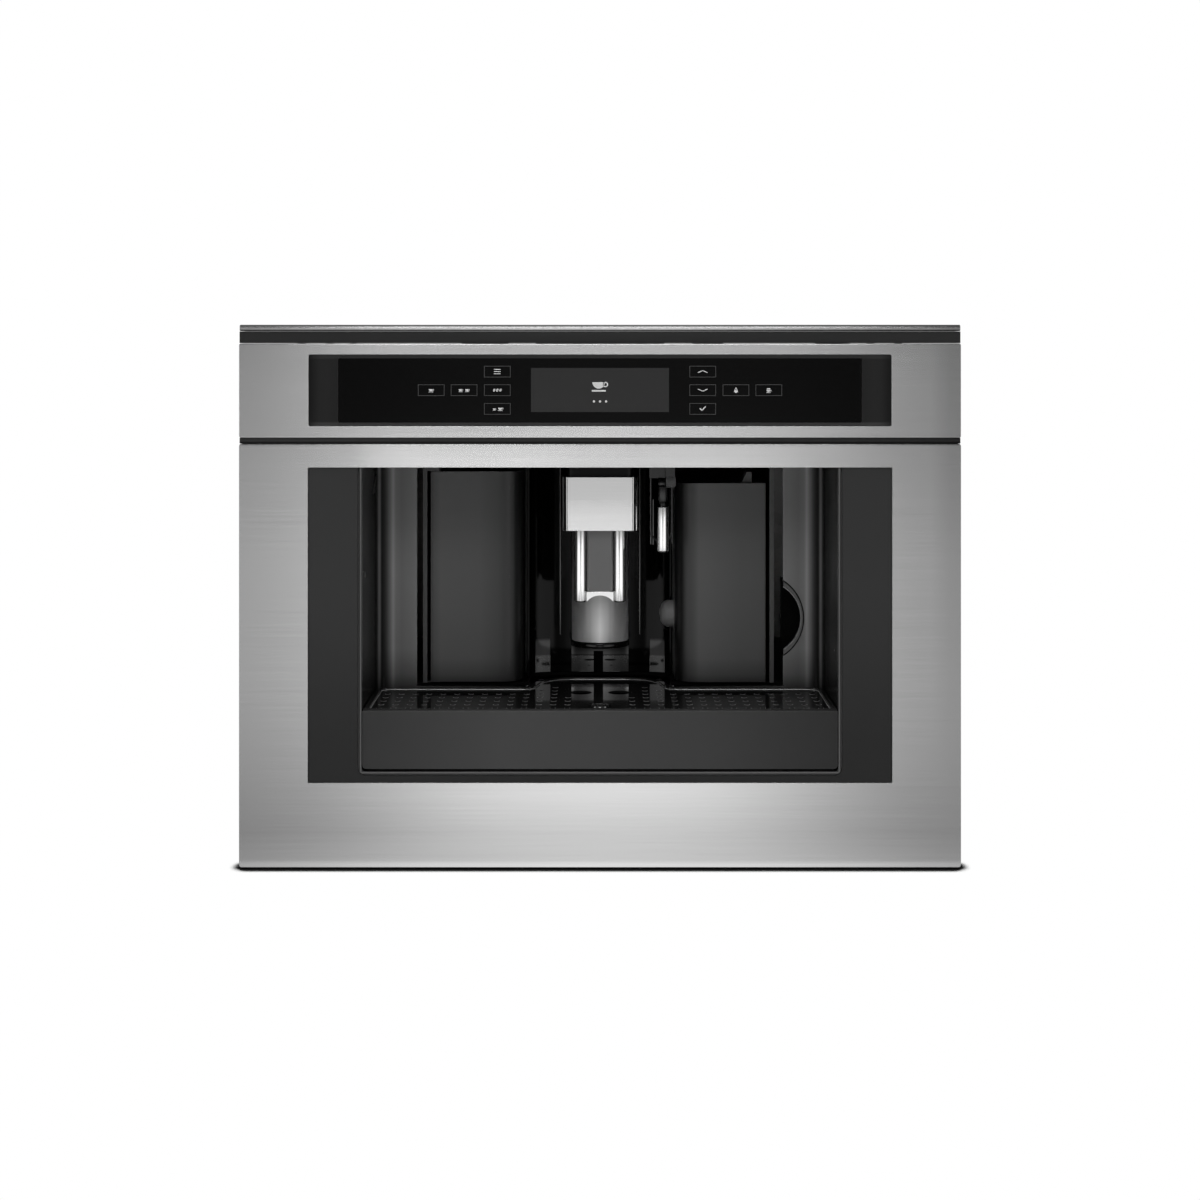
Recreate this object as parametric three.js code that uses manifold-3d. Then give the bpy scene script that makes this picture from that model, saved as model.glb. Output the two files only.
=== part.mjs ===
// Built-in coffee machine: a brushed-steel front with a moulded niche, on telescopic slides.
// Millimetres, +Z up. The front faces -Y. "Depth" below is the distance behind the front plane.
import * as THREE from 'three';
import { mergeVertices } from 'three/addons/utils/BufferGeometryUtils.js';
import Module from 'manifold-3d';

const wasm = await Module();
wasm.setup();

// ---------------------------------------------------------------- driving dimensions
const WIDTH = 595;            // over the steel front
const HEIGHT = 448.6;         // bottom of the front to the top ledge
const DEPTH = 400;            // front plane to the back of the tie bar
const FRONT = -DEPTH / 2;     // y of the front plane
const GAP = 0.3;              // between a piece and the one that carries it
const SHEET = 1.5;            // folded steel sheet

// heights of the front, from the top down
const LEDGE_LOW = HEIGHT - 5.2;       // bullnose over the dark band
const PANEL_TOP = LEDGE_LOW - 10.2;   // control panel
const PANEL_LOW = PANEL_TOP - 77.9;
const FASCIA_TOP = PANEL_LOW - 4.7;   // lower steel front, under the shadow gap
const SKIN_BACK = 19.7;       // depth that the front skins reach back to
const FRAME_FRONT = 20;       // sub-frame behind the skins
const FRAME_BACK = 22;

const CUT_HALF = 240.9;       // half width of the opening in the lower front
const CUT_LOW = 71;
const CUT_TOP = FASCIA_TOP - 19.6;
const NICHE_HALF = 196.5;     // inside of the niche
const NICHE_LOW = 80.2;
const RIM = 2.9;              // thin rim round the niche
const RIM_HALF = NICHE_HALF + RIM;
const RIM_BACK = 8;
const WALL_RADIUS = 16;       // curved inner corners of the niche
const CHEEK_FACE = 112;       // depth of the flat cheeks
const CHEEK_REACH = 35.1;     // how far a cheek reaches in, with its corner
const CHEEK_INNER = NICHE_HALF - CHEEK_REACH;
const LINER = 2.2;            // thickness of the moulded liner
const CHEEK_BACK = CHEEK_FACE + LINER;
const CEILING_TOP = CUT_TOP + 2.4;

const WINDOW_HALF = 240.3;    // cut-out of the control panel
const WINDOW_LOW = PANEL_LOW + 9.7;
const WINDOW_TOP = PANEL_TOP - 9.1;
const GLASS_HALF = 215.5;
const GLASS_LOW = WINDOW_LOW + 3.1;
const GLASS_TOP = WINDOW_TOP - 3.4;
const GLASS_BACK = 4.4;
const DISPLAY_HALF = 57;      // lit area behind the glass
const DISPLAY_LOW = GLASS_LOW + 8.4;
const DISPLAY_TOP = GLASS_TOP - 7.6;
const KEY_Z = GLASS_LOW + 26.6;       // centre height of the middle row of touch keys
const KEY_PITCH = 15.35;
// centres of the touch keys on one side, in (x, z)
const KEYS = [
  [84.65, KEY_Z + KEY_PITCH], [84.65, KEY_Z], [84.65, KEY_Z - KEY_PITCH], [112.05, KEY_Z], [139.15, KEY_Z],
];

const RECESS_BACK = 170;      // depth of the curved wall behind the spouts
const RECESS_SIDE = 157;
const RECESS_HALF = 64.9;
const RECESS_WALL = 2;

const TRAY_LOW = NICHE_LOW + 0.4;
const TRAY_HALF = NICHE_HALF - 0.8;
const TRAY_RIM = 131;
const TRAY_FLOOR = 2;
const TRAY_BACK = CHEEK_FACE - 1.5;   // at the sides; the middle runs on
const TRAY_MID_HALF = 62;     // what passes between the channel's walls
const TRAY_MID_BACK = 163;
const TRAY_END = 258;
const GROUNDS_HALF = 56.6;    // the grounds container
const TRAY_FACE = 6;          // back of the tray's front plate
const GRATE_TOP = TRAY_RIM - 1.5;
const GRATE_THICK = 2;
const GRATE_INSET = 4.3;
const GRATE_ROWS = 5;
const TONGUE_ROWS = [4, 7, 6];        // in the columns nearest the middle
const GRATE_COLUMNS = 14;     // on each side
const COLUMN_START = 27.35;
const ROW_START = 17;
const HOLE_PITCH_X = 12.05;
const HOLE_PITCH_D = 16.6;
const HOLE_R = 1.9;
const CATCH_R = 9.6;          // larger holes under the spouts
const FLOAT_D = 28;
const FLOAT_R = 10;           // its hole in the grate

const SHELF_LOW = TRAY_RIM + 0.7;     // shelf that carries the bays
const SHELF_TOP = SHELF_LOW + 3;
const SEAT = SHELF_TOP + GAP; // what stands on the shelf starts here
const BAY_FACE = 110;         // depth of the door's and the tank's front
const BAY_STRIP = 3.6;        // strip beside the door and the tank
const BAY_WALL = 2.2;
const BAY_INNER = RECESS_HALF + 0.7;
const BAY_TOP = CUT_TOP - 5.5;

const DOOR_SIDE = 12.4;       // from the left cheek's edge to the door
const DOOR_LEFT = DOOR_SIDE - CHEEK_INNER;
const DOOR_RIGHT = -RECESS_HALF - 2.6;
const DOOR_LOW = SHELF_TOP + 1.1;
const DOOR_TOP = BAY_TOP - 4.8;
const DOOR_SKIN = 3;
const ROLL_DEPTH = 20;        // how far the door's right edge rolls back
const PIN_X = DOOR_LEFT + 4.5;        // hinge axis of the door
const PIN_D = BAY_FACE + 4.5;
const PIN_R = 2;
const PIN_CLEAR = 0.35;
const BARREL_R = 4.2;

const TANK_SIDE = 15.4;       // from the right cheek's edge to the tank
const TANK_LEFT = RECESS_HALF + 1.2;
const TANK_RIGHT = CHEEK_INNER - TANK_SIDE;
const TANK_TOP = BAY_TOP - 14.7;
const TANK_BACK = 345;
const TANK_WALL = 2.5;
const TANK_SKIN = 3;          // the front cover
const COVER_END = 160;        // depth that the front cover reaches back to
const PEG_R = 12.2;           // boss on the tank's left side
const PEG_D = 143;
const GRIP_Z = 191.5;         // centre height of the boss and the finger scoop

const COLUMN_R = 25.5;
const COLUMN_LOW = 163.4;

const HEAD_HALF = 33.2;       // dispenser head
const HEAD_FRONT = 72;
const HEAD_BACK = 122;
const HEAD_TOP = CUT_TOP - 12.5;
const HEAD_LOW = HEAD_TOP - 46.7;
const SPOUT_X = 16.8;
const SPOUT_D = 89;
const SPOUT_R = 5.6;
const SPOUT_LOW = HEAD_LOW - 63;

const NOZZLE_X = 54.5;
const NOZZLE_D = 85;
const NOZZLE_PIVOT = CUT_TOP - 18.5;

const CASE_HALF = 262;        // outside of the casing
const CASE_LOW = 4;
const CASE_BACK = 385.8;
const CASE_FRONT = FRAME_BACK + GAP;
const COVER_LOW = PANEL_TOP - SHEET;
const COVER_SEAT = PANEL_TOP + GAP;   // what stands on the top cover starts here

const RAIL_Z = 105;           // centre height of the slides
const RAIL_HALF = 23;
const RAIL_OUT = 279.8;       // outside of the cabinet members
const RAIL_LIP = 268;
const RAIL_SHEET = 1.6;
const RAIL_FRONT = 30;
const RAIL_BACK = 390;

const HOPPER_D = 275;         // bean hopper and grinder axis
const HOPPER_R = 56;
const GRINDER_TOP = COVER_SEAT - 62.1;
const NECK_R = 18.4;
const HOPPER_WALL = 2.2;
const DIAL_X = 104;
const DIAL_R = 15;
const DIAL_SHAFT = 6;
const SWITCH_X = 200;
const SWITCH_D = 80;
const SWITCH_TILT = 6;        // degrees each way
const BREW_X = (DOOR_LEFT + DOOR_RIGHT) / 2;   // powder chute and brew chamber
const BREW_D = 232;
const BREW_BAY_BACK = BREW_D + 70;
const BREW_TOP = BAY_TOP - 29.5;
const CHAMBER_R = 29;
const CHAMBER_BORE = 24;
const PISTON_LOW = 170;
const CHUTE_R = 14;
const CHUTE_BORE = 11.8;
const INLET_X = -200;
const INLET_Z = 56;

// ---------------------------------------------------------------- materials
function finish(color, roughness, metalness) {
  return new THREE.MeshStandardMaterial({ color, roughness, metalness });
}
const BRUSHED = finish('#c6c6c4', 0.34, 1);
const POLISHED = finish('#dcdcdc', 0.12, 1);
const SATIN_GREY = finish('#38383a', 0.45, 0);
const MID_GREY = finish('#6a6a6c', 0.4, 0);
const GLOSS_BLACK = finish('#0c0c0d', 0.1, 0);
const MATTE_BLACK = finish('#1a1a1b', 0.55, 0);
const DARK_PLATE = finish('#2d2d2e', 0.5, 0);
const SMOKED = finish('#3c4146', 0.2, 0);
const ZINC = finish('#a9adb0', 0.4, 1);
const CAST = finish('#b4b6b8', 0.5, 1);
const CIRCUIT = finish('#1f5a35', 0.55, 0);
const COLUMN_GREY = finish('#8d8f8f', 0.35, 0.3);

const group = new THREE.Group();
group.name = 'built_in_coffee_machine';

// ---------------------------------------------------------------- helpers
// A closed three.js geometry as a solid, turned right side out.
function solid(geometry) {
  geometry.deleteAttribute('normal');
  geometry.deleteAttribute('uv');
  const merged = mergeVertices(geometry, 1e-4);
  const p = merged.attributes.position.array;
  const faces = [];
  let volume = 0;
  for (let i = 0; i < merged.index.count; i += 3) {
    const [a, b, c] = merged.index.array.slice(i, i + 3);
    if (a === b || b === c || c === a) continue;
    faces.push([a, b, c]);
    const [ax, ay, az, bx, by, bz, cx, cy, cz] = [a, b, c].flatMap((n) => [...p.slice(3 * n, 3 * n + 3)]);
    volume += ax * (by * cz - bz * cy) - ay * (bx * cz - bz * cx) + az * (bx * cy - by * cx);
  }
  const triVerts = new Uint32Array(faces.flatMap((f) => (volume < 0 ? [f[0], f[2], f[1]] : f)));
  return new wasm.Manifold(new wasm.Mesh({ numProp: 3, vertProperties: new Float32Array(p), triVerts }));
}

function put(name, material, shape) {
  const mesh = shape.getMesh();
  const geometry = new THREE.BufferGeometry();
  geometry.setAttribute('position', new THREE.BufferAttribute(new Float32Array(mesh.vertProperties), 3));
  geometry.setIndex(new THREE.BufferAttribute(new Uint32Array(mesh.triVerts), 1));
  geometry.computeVertexNormals();
  const node = new THREE.Mesh(geometry, material);
  node.name = name;
  group.add(node);
}

function union(...shapes) {
  return shapes.reduce((all, s) => all.add(s));
}

function box(x0, x1, d0, d1, z0, z1) {
  const g = new THREE.BoxGeometry(x1 - x0, d1 - d0, z1 - z0);
  g.translate((x0 + x1) / 2, FRONT + (d0 + d1) / 2, (z0 + z1) / 2);
  return solid(g);
}

function polygon(points) {
  return new THREE.Shape(points.map(([a, b]) => new THREE.Vector2(a, b)));
}

// A rectangle with the radii of its low-left, low-right, high-right and high-left corners.
function rectangle(a0, a1, b0, b1, radii) {
  const [ll, lr, hr, hl] = typeof radii === 'number' ? [radii, radii, radii, radii] : radii;
  const s = new THREE.Shape();
  s.moveTo(a0 + ll, b0);
  s.lineTo(a1 - lr, b0);
  if (lr) s.absarc(a1 - lr, b0 + lr, lr, -Math.PI / 2, 0, false);
  s.lineTo(a1, b1 - hr);
  if (hr) s.absarc(a1 - hr, b1 - hr, hr, 0, Math.PI / 2, false);
  s.lineTo(a0 + hl, b1);
  if (hl) s.absarc(a0 + hl, b1 - hl, hl, Math.PI / 2, Math.PI, false);
  s.lineTo(a0, b0 + ll);
  if (ll) s.absarc(a0 + ll, b0 + ll, ll, Math.PI, 1.5 * Math.PI, false);
  return s;
}

function circle(a, b, r) {
  return new THREE.Shape().absarc(a, b, r, 0, 2 * Math.PI, false);
}

function extrude(shape, length, curveSegments) {
  return new THREE.ExtrudeGeometry(shape, { depth: length, bevelEnabled: false, curveSegments });
}

// A plan outline in (x, depth), from z0 up to z1.
function alongZ(shape, z0, z1, segments = 6) {
  const g = extrude(shape, z1 - z0, segments);
  g.translate(0, FRONT, z0);
  return solid(g);
}

// A front outline in (x, z), between two depths.
function alongD(shape, d0, d1, segments = 6) {
  const g = extrude(shape, d1 - d0, segments);
  g.rotateX(Math.PI / 2);
  g.translate(0, FRONT + d1, 0);
  return solid(g);
}

// A side outline in (depth, z), between two x positions.
function alongX(shape, x0, x1, segments = 6) {
  const g = extrude(shape, x1 - x0, segments);
  const [ex, ey, ez] = [[0, 1, 0], [0, 0, 1], [1, 0, 0]].map((v) => new THREE.Vector3(...v));
  g.applyMatrix4(new THREE.Matrix4().makeBasis(ex, ey, ez));
  g.translate(x0, FRONT, 0);
  return solid(g);
}

// A closed profile of [radius, height] turned about the vertical through (x, depth).
function turned(profile, x, d, segments = 32) {
  const g = new THREE.LatheGeometry(profile.map(([r, h]) => new THREE.Vector2(r, h)), segments);
  g.rotateX(Math.PI / 2);
  g.translate(x, FRONT + d, 0);
  return solid(g);
}

// The same, turned about a line along X through (depth, z); the profile's heights are x positions.
function turnedAlongX(profile, d, z, segments = 24) {
  const g = new THREE.LatheGeometry(profile.map(([r, h]) => new THREE.Vector2(r, h)), segments);
  g.rotateZ(-Math.PI / 2);
  g.translate(0, FRONT + d, z);
  return solid(g);
}

// The same, turned about a line along Y through (x, z); the profile's heights are depths.
function turnedAlongD(profile, x, z, segments = 24) {
  const g = new THREE.LatheGeometry(profile.map(([r, h]) => new THREE.Vector2(r, h)), segments);
  g.translate(x, FRONT, z);
  return solid(g);
}

// A round rod bent along a path of [x, depth, z] points.
function rod(points, radius, steps = 24) {
  const path = new THREE.CatmullRomCurve3(
    points.map(([x, d, z]) => new THREE.Vector3(x, FRONT + d, z)), false, 'catmullrom', 0.2);
  const shape = circle(0, 0, radius);
  return solid(new THREE.ExtrudeGeometry(shape, { steps, extrudePath: path, curveSegments: 4 }));
}

function mirrored(shape) {
  return shape.mirror([1, 0, 0]);
}

// ---------------------------------------------------------------- cabinet members and slides
// One C-shaped member of a slide: its web stands at x = web and its lips reach to x = reach.
function railMember(web, reach, half, d0, d1) {
  const t = RAIL_SHEET;
  const low = Math.min(web, reach);
  const high = Math.max(web + t, reach);
  const lip = box(low, high, d0, d1, RAIL_Z - half, RAIL_Z - half + t);
  const back = box(web, web + t, d0, d1, RAIL_Z - half, RAIL_Z + half);
  return union(back, lip, lip.translate([0, 0, 2 * half - t]));
}

function slides() {
  const outerWeb = RAIL_OUT - RAIL_SHEET;
  const midWeb = outerWeb - GAP - RAIL_SHEET;
  const midHalf = RAIL_HALF - RAIL_SHEET - GAP;
  const innerHalf = midHalf - RAIL_SHEET - GAP;
  const outer = railMember(outerWeb, RAIL_LIP, RAIL_HALF, RAIL_FRONT, RAIL_BACK);
  const mid = railMember(midWeb, RAIL_LIP, midHalf, RAIL_FRONT + 2, RAIL_BACK - 4);
  const inner = railMember(CASE_HALF + GAP, midWeb - GAP, innerHalf, RAIL_FRONT - 4, RAIL_BACK - 10);
  put('mount_rail_right', ZINC, outer);
  put('mount_rail_left', ZINC, mirrored(outer));
  put('mid_rail_right', ZINC, mid);
  put('mid_rail_left', ZINC, mirrored(mid));
  put('inner_rail_right', ZINC, inner);
  put('inner_rail_left', ZINC, mirrored(inner));
}

// Folded bar that joins the two cabinet members behind the machine.
function rearTieBar() {
  const t = 1.7;
  const front = RAIL_BACK + GAP;
  const low = RAIL_Z - RAIL_HALF;
  const web = box(-RAIL_OUT, RAIL_OUT, front, front + t, low, RAIL_Z + RAIL_HALF);
  const foot = box(-RAIL_OUT, RAIL_OUT, front, DEPTH, low, low + t);
  let bar = union(web, foot);
  const slotHalf = 45;
  for (const x of [-210, -70, 70, 210]) {
    const slot = rectangle(x - slotHalf, x + slotHalf, RAIL_Z - 8, RAIL_Z + 12, 8);
    bar = bar.subtract(alongD(slot, front - 1, front + t + 1, 1));
  }
  put('rear_tie_bar', ZINC, bar);
}

// ---------------------------------------------------------------- casing
function basePan() {
  const half = CASE_HALF - SHEET - GAP;
  const back = CASE_BACK - SHEET - GAP;
  const [low, high] = [CASE_LOW, CASE_LOW + 20];
  const outer = alongZ(rectangle(-half, half, CASE_FRONT, back, 2), low, high, 2);
  const inner = box(-half + SHEET, half - SHEET, CASE_FRONT + SHEET, back - SHEET, low + SHEET, high + 1);
  let pan = outer.subtract(inner);
  // pressed ribs stiffen the floor
  const [foot, crest, wide, narrow] = [low + 1, low + 4, 9, 5];
  for (const x of [-200, -120, 120, 200]) {
    const rib = polygon([[x - wide, foot], [x + wide, foot], [x + narrow, crest], [x - narrow, crest]]);
    pan = pan.add(alongD(rib, CASE_FRONT + 38, back - 34));
  }
  put('base_pan', ZINC, pan);
}

// Two sides and the rear, one folded sheet, with vents and the cut-out of the power inlet.
function casingWrap() {
  const [half, back, t] = [CASE_HALF, CASE_BACK, SHEET];
  const outline = polygon([
    [-half, CASE_FRONT], [-half + t, CASE_FRONT], [-half + t, back - t], [half - t, back - t],
    [half - t, CASE_FRONT], [half, CASE_FRONT], [half, back], [-half, back],
  ]);
  let wrap = alongZ(outline, CASE_LOW, COVER_LOW - GAP);
  const rearVents = 9;
  for (let i = 0; i < rearVents; i += 1) {
    const x = 24 * (i - (rearVents - 1) / 2);
    wrap = wrap.subtract(box(x - 4, x + 4, back - 5, back + 5, COVER_LOW - 101.7, COVER_LOW - 31.7));
  }
  for (let i = 0; i < 6; i += 1) {
    const d = 120 + 34 * i;
    wrap = wrap.subtract(box(-half - 5, half + 5, d, d + 22, COVER_LOW - 51.7, COVER_LOW - 45.7));
  }
  const inlet = box(INLET_X - 14, INLET_X + 14, back - 5, back + 5, INLET_Z - 10, INLET_Z + 10);
  put('casing_wrap', ZINC, wrap.subtract(inlet));
}

function topCover() {
  const [low, high] = [COVER_LOW - 1, PANEL_TOP + 1];
  let cover = box(-CASE_HALF, CASE_HALF, CASE_FRONT, CASE_BACK, COVER_LOW, PANEL_TOP);
  cover = cover.subtract(alongZ(circle(0, HOPPER_D, HOPPER_R + GAP), low, high, 15));
  cover = cover.subtract(alongZ(circle(BREW_X, BREW_D, CHUTE_R + 2), low, high, 10));
  cover = cover.subtract(alongZ(circle(DIAL_X, HOPPER_D, DIAL_SHAFT + GAP), low, high, 10));
  cover = cover.subtract(box(SWITCH_X - 9, SWITCH_X + 9, SWITCH_D - 14, SWITCH_D + 14, low, high));
  for (let i = 0; i < 8; i += 1) {
    const x = DIAL_X + 26 + 14 * i;
    cover = cover.subtract(box(x, x + 6, 200, 330, low, high));
  }
  put('top_cover', ZINC, cover);
}

function frontFrame() {
  const half = WIDTH / 2 - 1;
  let frame = box(-half, half, FRAME_FRONT, FRAME_BACK, 1, COVER_LOW);
  frame = frame.subtract(box(-RIM_HALF - 2, RIM_HALF + 2, 10, 30, CUT_LOW + 3, CUT_TOP + 3));
  const board = GLASS_HALF + 4.5;
  frame = frame.subtract(box(-board, board, 10, 30, GLASS_LOW, GLASS_TOP + 0.3));
  put('front_frame', ZINC, frame);
}

// ---------------------------------------------------------------- steel front
// The lower front: one skin, its bottom edge rolled back, its edges returned to the sub-frame.
function lowerFascia() {
  const roll = 7;
  const side = rectangle(0, SKIN_BACK, 0, FASCIA_TOP, [roll, 0, 0, 1.2]);
  const face = alongD(rectangle(-WIDTH / 2, WIDTH / 2, 0, FASCIA_TOP, 2.2), -1, SKIN_BACK + 1, 2);
  const outer = alongX(side, -WIDTH / 2, WIDTH / 2, 4).intersect(face);
  const hollowSide = rectangle(SHEET, 30, SHEET, FASCIA_TOP - SHEET, [roll - SHEET, 0, 0, 0]);
  const hollow = alongX(hollowSide, -WIDTH / 2 + SHEET, WIDTH / 2 - SHEET, 4);
  const cut = alongD(rectangle(-CUT_HALF, CUT_HALF, CUT_LOW, CUT_TOP, 0.8), -5, 10, 1);
  put('lower_fascia', BRUSHED, outer.subtract(hollow).subtract(cut));
}

function controlPanel() {
  const side = rectangle(0, SKIN_BACK, PANEL_LOW, PANEL_TOP, [1.2, 0, 0, 1.2]);
  const face = alongD(rectangle(-WIDTH / 2, WIDTH / 2, PANEL_LOW, PANEL_TOP, 1.5), -1, SKIN_BACK + 1, 2);
  const outer = alongX(side, -WIDTH / 2, WIDTH / 2, 2).intersect(face);
  const inside = WIDTH / 2 - SHEET;
  const hollow = box(-inside, inside, SHEET, 30, PANEL_LOW + SHEET, PANEL_TOP - SHEET);
  const cut = alongD(rectangle(-WINDOW_HALF, WINDOW_HALF, WINDOW_LOW, WINDOW_TOP, 1.2), -5, 10, 1);
  put('control_panel', BRUSHED, outer.subtract(hollow).subtract(cut));
}

// Dark recessed band over the panel, with a small step along its foot.
function topBand() {
  const half = WIDTH / 2 - 1.2;
  const side = polygon([
    [6, PANEL_TOP + GAP], [26, PANEL_TOP + GAP], [26, LEDGE_LOW - GAP], [8, LEDGE_LOW - GAP],
    [8, PANEL_TOP + 3.2], [6, PANEL_TOP + 2.6],
  ]);
  put('top_band', MATTE_BLACK, alongX(side, -half, half));
}

function topLedge() {
  const half = WIDTH / 2 - 0.4;
  const side = rectangle(0, 26, LEDGE_LOW, HEIGHT, [1.8, 0, 0, 2.6]);
  put('top_ledge', BRUSHED, alongX(side, -half, half, 6));
}

// ---------------------------------------------------------------- control window
function windowFrame() {
  const half = WINDOW_HALF - GAP;
  const [low, top] = [WINDOW_LOW + GAP, WINDOW_TOP - GAP];
  const face = alongD(rectangle(-half, half, low, top, 1), 0.4, 5, 1);
  const flange = box(-half - 5, half + 5, SHEET + GAP, 4, low - 4, top + 4);
  const opening = [-GLASS_HALF - GAP, GLASS_HALF + GAP];
  const cut = alongD(rectangle(...opening, GLASS_LOW - GAP, GLASS_TOP + GAP, 0.8), -1, 9, 1);
  const lip = box(-half + 4, half - 4, 5, SKIN_BACK, low + 2, top - 2);
  const bore = box(-half + 6, half - 6, 4, 25, low + 4, top - 4);
  const body = union(face, flange).subtract(cut).add(lip.subtract(bore));
  put('window_frame', SATIN_GREY, body);
}

function windowGlass() {
  const shape = rectangle(-GLASS_HALF, GLASS_HALF, GLASS_LOW, GLASS_TOP, 0.8);
  put('window_glass', GLOSS_BLACK, alongD(shape, 0.6, GLASS_BACK, 1));
}

// The circuit board, with the display module and the touch pads it carries against the glass.
function controlBoard() {
  const [near, face, back] = [GLASS_BACK + GAP, 10, 11.6];
  const board = box(-GLASS_HALF + 10.5, GLASS_HALF - 10.5, face, back, GLASS_LOW + 2.9, GLASS_TOP - 2.7);
  const display = box(-DISPLAY_HALF - 3, DISPLAY_HALF + 3, near, face, DISPLAY_LOW - 2, DISPLAY_TOP + 2);
  let all = union(board, display);
  for (const side of [-1, 1]) {
    for (const [x, z] of KEYS) {
      all = all.add(box(side * x - 5, side * x + 5, near, face, z - 3.5, z + 3.5));
    }
    all = all.add(box(side * 180 - 12, side * 180 + 12, back, 18, KEY_Z - 14.7, KEY_Z + 9.3));
    all = all.add(box(side * 200 - 3, side * 200 + 3, near, face, GLASS_LOW + 3.9, GLASS_TOP - 3.7));
  }
  put('control_board', CIRCUIT, all);
}

// ---------------------------------------------------------------- niche
// The dark plate that fills the opening, with a wall standing back to the sub-frame.
function nicheBezel() {
  const half = CUT_HALF - GAP;
  const [low, top] = [CUT_LOW + GAP, CUT_TOP - GAP];
  const outer = alongD(rectangle(-half, half, low, top, 0.8), 1, SKIN_BACK, 2);
  const back = box(-half + 2, half - 2, 3.6, 25, low + 2, top - 2);
  const cut = RIM_HALF + GAP;
  const opening = alongD(rectangle(-cut, cut, NICHE_LOW - 3.2, top + 9, [7, 7, 0, 0]), -2, 25);
  const skirt = box(-cut - 1.6, cut + 1.6, 3.6, SKIN_BACK, NICHE_LOW - 4.8, top);
  put('niche_bezel', DARK_PLATE, union(outer.subtract(back), skirt).subtract(opening));
}

// The thin rim round the niche: two sides and a foot with round lower corners.
function nicheRim() {
  const top = CUT_TOP - GAP;
  const low = NICHE_LOW - 2.9;
  const outer = rectangle(-RIM_HALF, RIM_HALF, low, top, [6.6, 6.6, 0, 0]);
  const inner = rectangle(-NICHE_HALF, NICHE_HALF, NICHE_LOW, top + 9, [4, 4, 0, 0]);
  let rim = alongD(outer, 0.3, RIM_BACK).subtract(alongD(inner, -3, RIM_BACK + 4));
  for (const side of [-1, 1]) {
    const x = side * RIM_HALF;
    rim = rim.subtract(alongD(polygon([[x - 1.6, top + 1], [x + 1.6, top + 1], [x, top - 3.4]]), -2, 3));
  }
  put('niche_rim', SATIN_GREY, rim);
}

// Plan outline of one side wall: straight back, round the inner corner, along the cheek.
function wallOutline() {
  const [x, r, t, face] = [NICHE_HALF, WALL_RADIUS, LINER, CHEEK_FACE];
  const front = RIM_BACK + GAP;
  const s = new THREE.Shape();
  s.moveTo(x, front);
  s.lineTo(x + t, front);
  s.lineTo(x + t, face - r);
  s.absarc(x - r, face - r, r + t, 0, Math.PI / 2, false);
  s.lineTo(CHEEK_INNER, CHEEK_BACK);
  s.lineTo(CHEEK_INNER, face);
  s.lineTo(x - r, face);
  s.absarc(x - r, face - r, r, Math.PI / 2, 0, true);
  return s;
}

// D-shaped finger scoop in the right cheek.
function scoopOutline(grow) {
  const s = new THREE.Shape();
  const half = 33.6 + grow;
  const bulge = 18.5 + grow;
  s.moveTo(CHEEK_INNER - 1, GRIP_Z - half);
  s.quadraticCurveTo(CHEEK_INNER + 2 * bulge, GRIP_Z, CHEEK_INNER - 1, GRIP_Z + half);
  return s;
}

function nicheLiner() {
  const low = TRAY_LOW - 3;
  const front = RIM_BACK + GAP;
  const wall = alongZ(wallOutline(), low, CEILING_TOP, 5);
  const right = wall.subtract(alongD(scoopOutline(0), CHEEK_FACE - 12, CHEEK_FACE + 8, 9));
  // the cheeks run on as a back wall behind the drip tray, below the shelf
  const inner = TRAY_MID_HALF + 6.6;
  const back = box(inner, CHEEK_INNER + 1, CHEEK_FACE, CHEEK_BACK, low, SHELF_LOW - GAP);
  const flange = box(NICHE_HALF + 1, NICHE_HALF + 16, CASE_FRONT, CASE_FRONT + 2, 90, 320);
  const both = union(union(right, back, flange), mirrored(union(wall, back, flange)));
  const floorHalf = NICHE_HALF + 1;
  const floor = box(-floorHalf, floorHalf, front, CHEEK_BACK, low, TRAY_LOW - GAP);
  const ceiling = alongZ(polygon([
    [-floorHalf, front], [floorHalf, front], [floorHalf, CHEEK_FACE], [CHEEK_INNER, CHEEK_BACK],
    [CHEEK_INNER, RECESS_BACK + 3], [-CHEEK_INNER, RECESS_BACK + 3], [-CHEEK_INNER, CHEEK_BACK],
    [-floorHalf, CHEEK_FACE],
  ]), CUT_TOP, CEILING_TOP);
  // the neck that the dispenser head hangs from, and the lamp window beside it
  const neckShape = rectangle(-HEAD_HALF + 4, HEAD_HALF - 4, HEAD_FRONT + 6, HEAD_BACK - 2, 6);
  const neck = alongZ(neckShape, HEAD_TOP + GAP, CUT_TOP + 1);
  const lamp = box(-24, 24, 30, 50, CUT_TOP - 1.2, CUT_TOP + 1);
  // its lower front corners are cut to pass inside the round corners of the rim's opening
  const [cx, cz] = [RIM_HALF + 0.4, NICHE_LOW - 3.4];
  const corner = alongD(polygon([[cx, cz], [cx, cz + 7.4], [cx - 7.4, cz]]), 0, FRAME_FRONT + 0.6);
  const liner = union(both, floor, ceiling, neck, lamp);
  put('niche_liner', GLOSS_BLACK, liner.subtract(corner).subtract(mirrored(corner)));
}

// The curved back of the recess, grown by the offset, in (x, depth): left to right with sign 1, or
// right to left with sign -1.
function recessCurve(shape, offset, sign = 1) {
  const [half, side, back] = [RECESS_HALF + offset, RECESS_SIDE, RECESS_BACK + offset];
  const turn = side + 0.6 * (back - side);
  const [wide, flat] = [0.68 * half, 0.34 * half];
  shape.bezierCurveTo(-sign * half, turn, -sign * wide, back, -sign * flat, back);
  shape.lineTo(sign * flat, back);
  shape.bezierCurveTo(sign * wide, back, sign * half, turn, sign * half, side);
}

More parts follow.
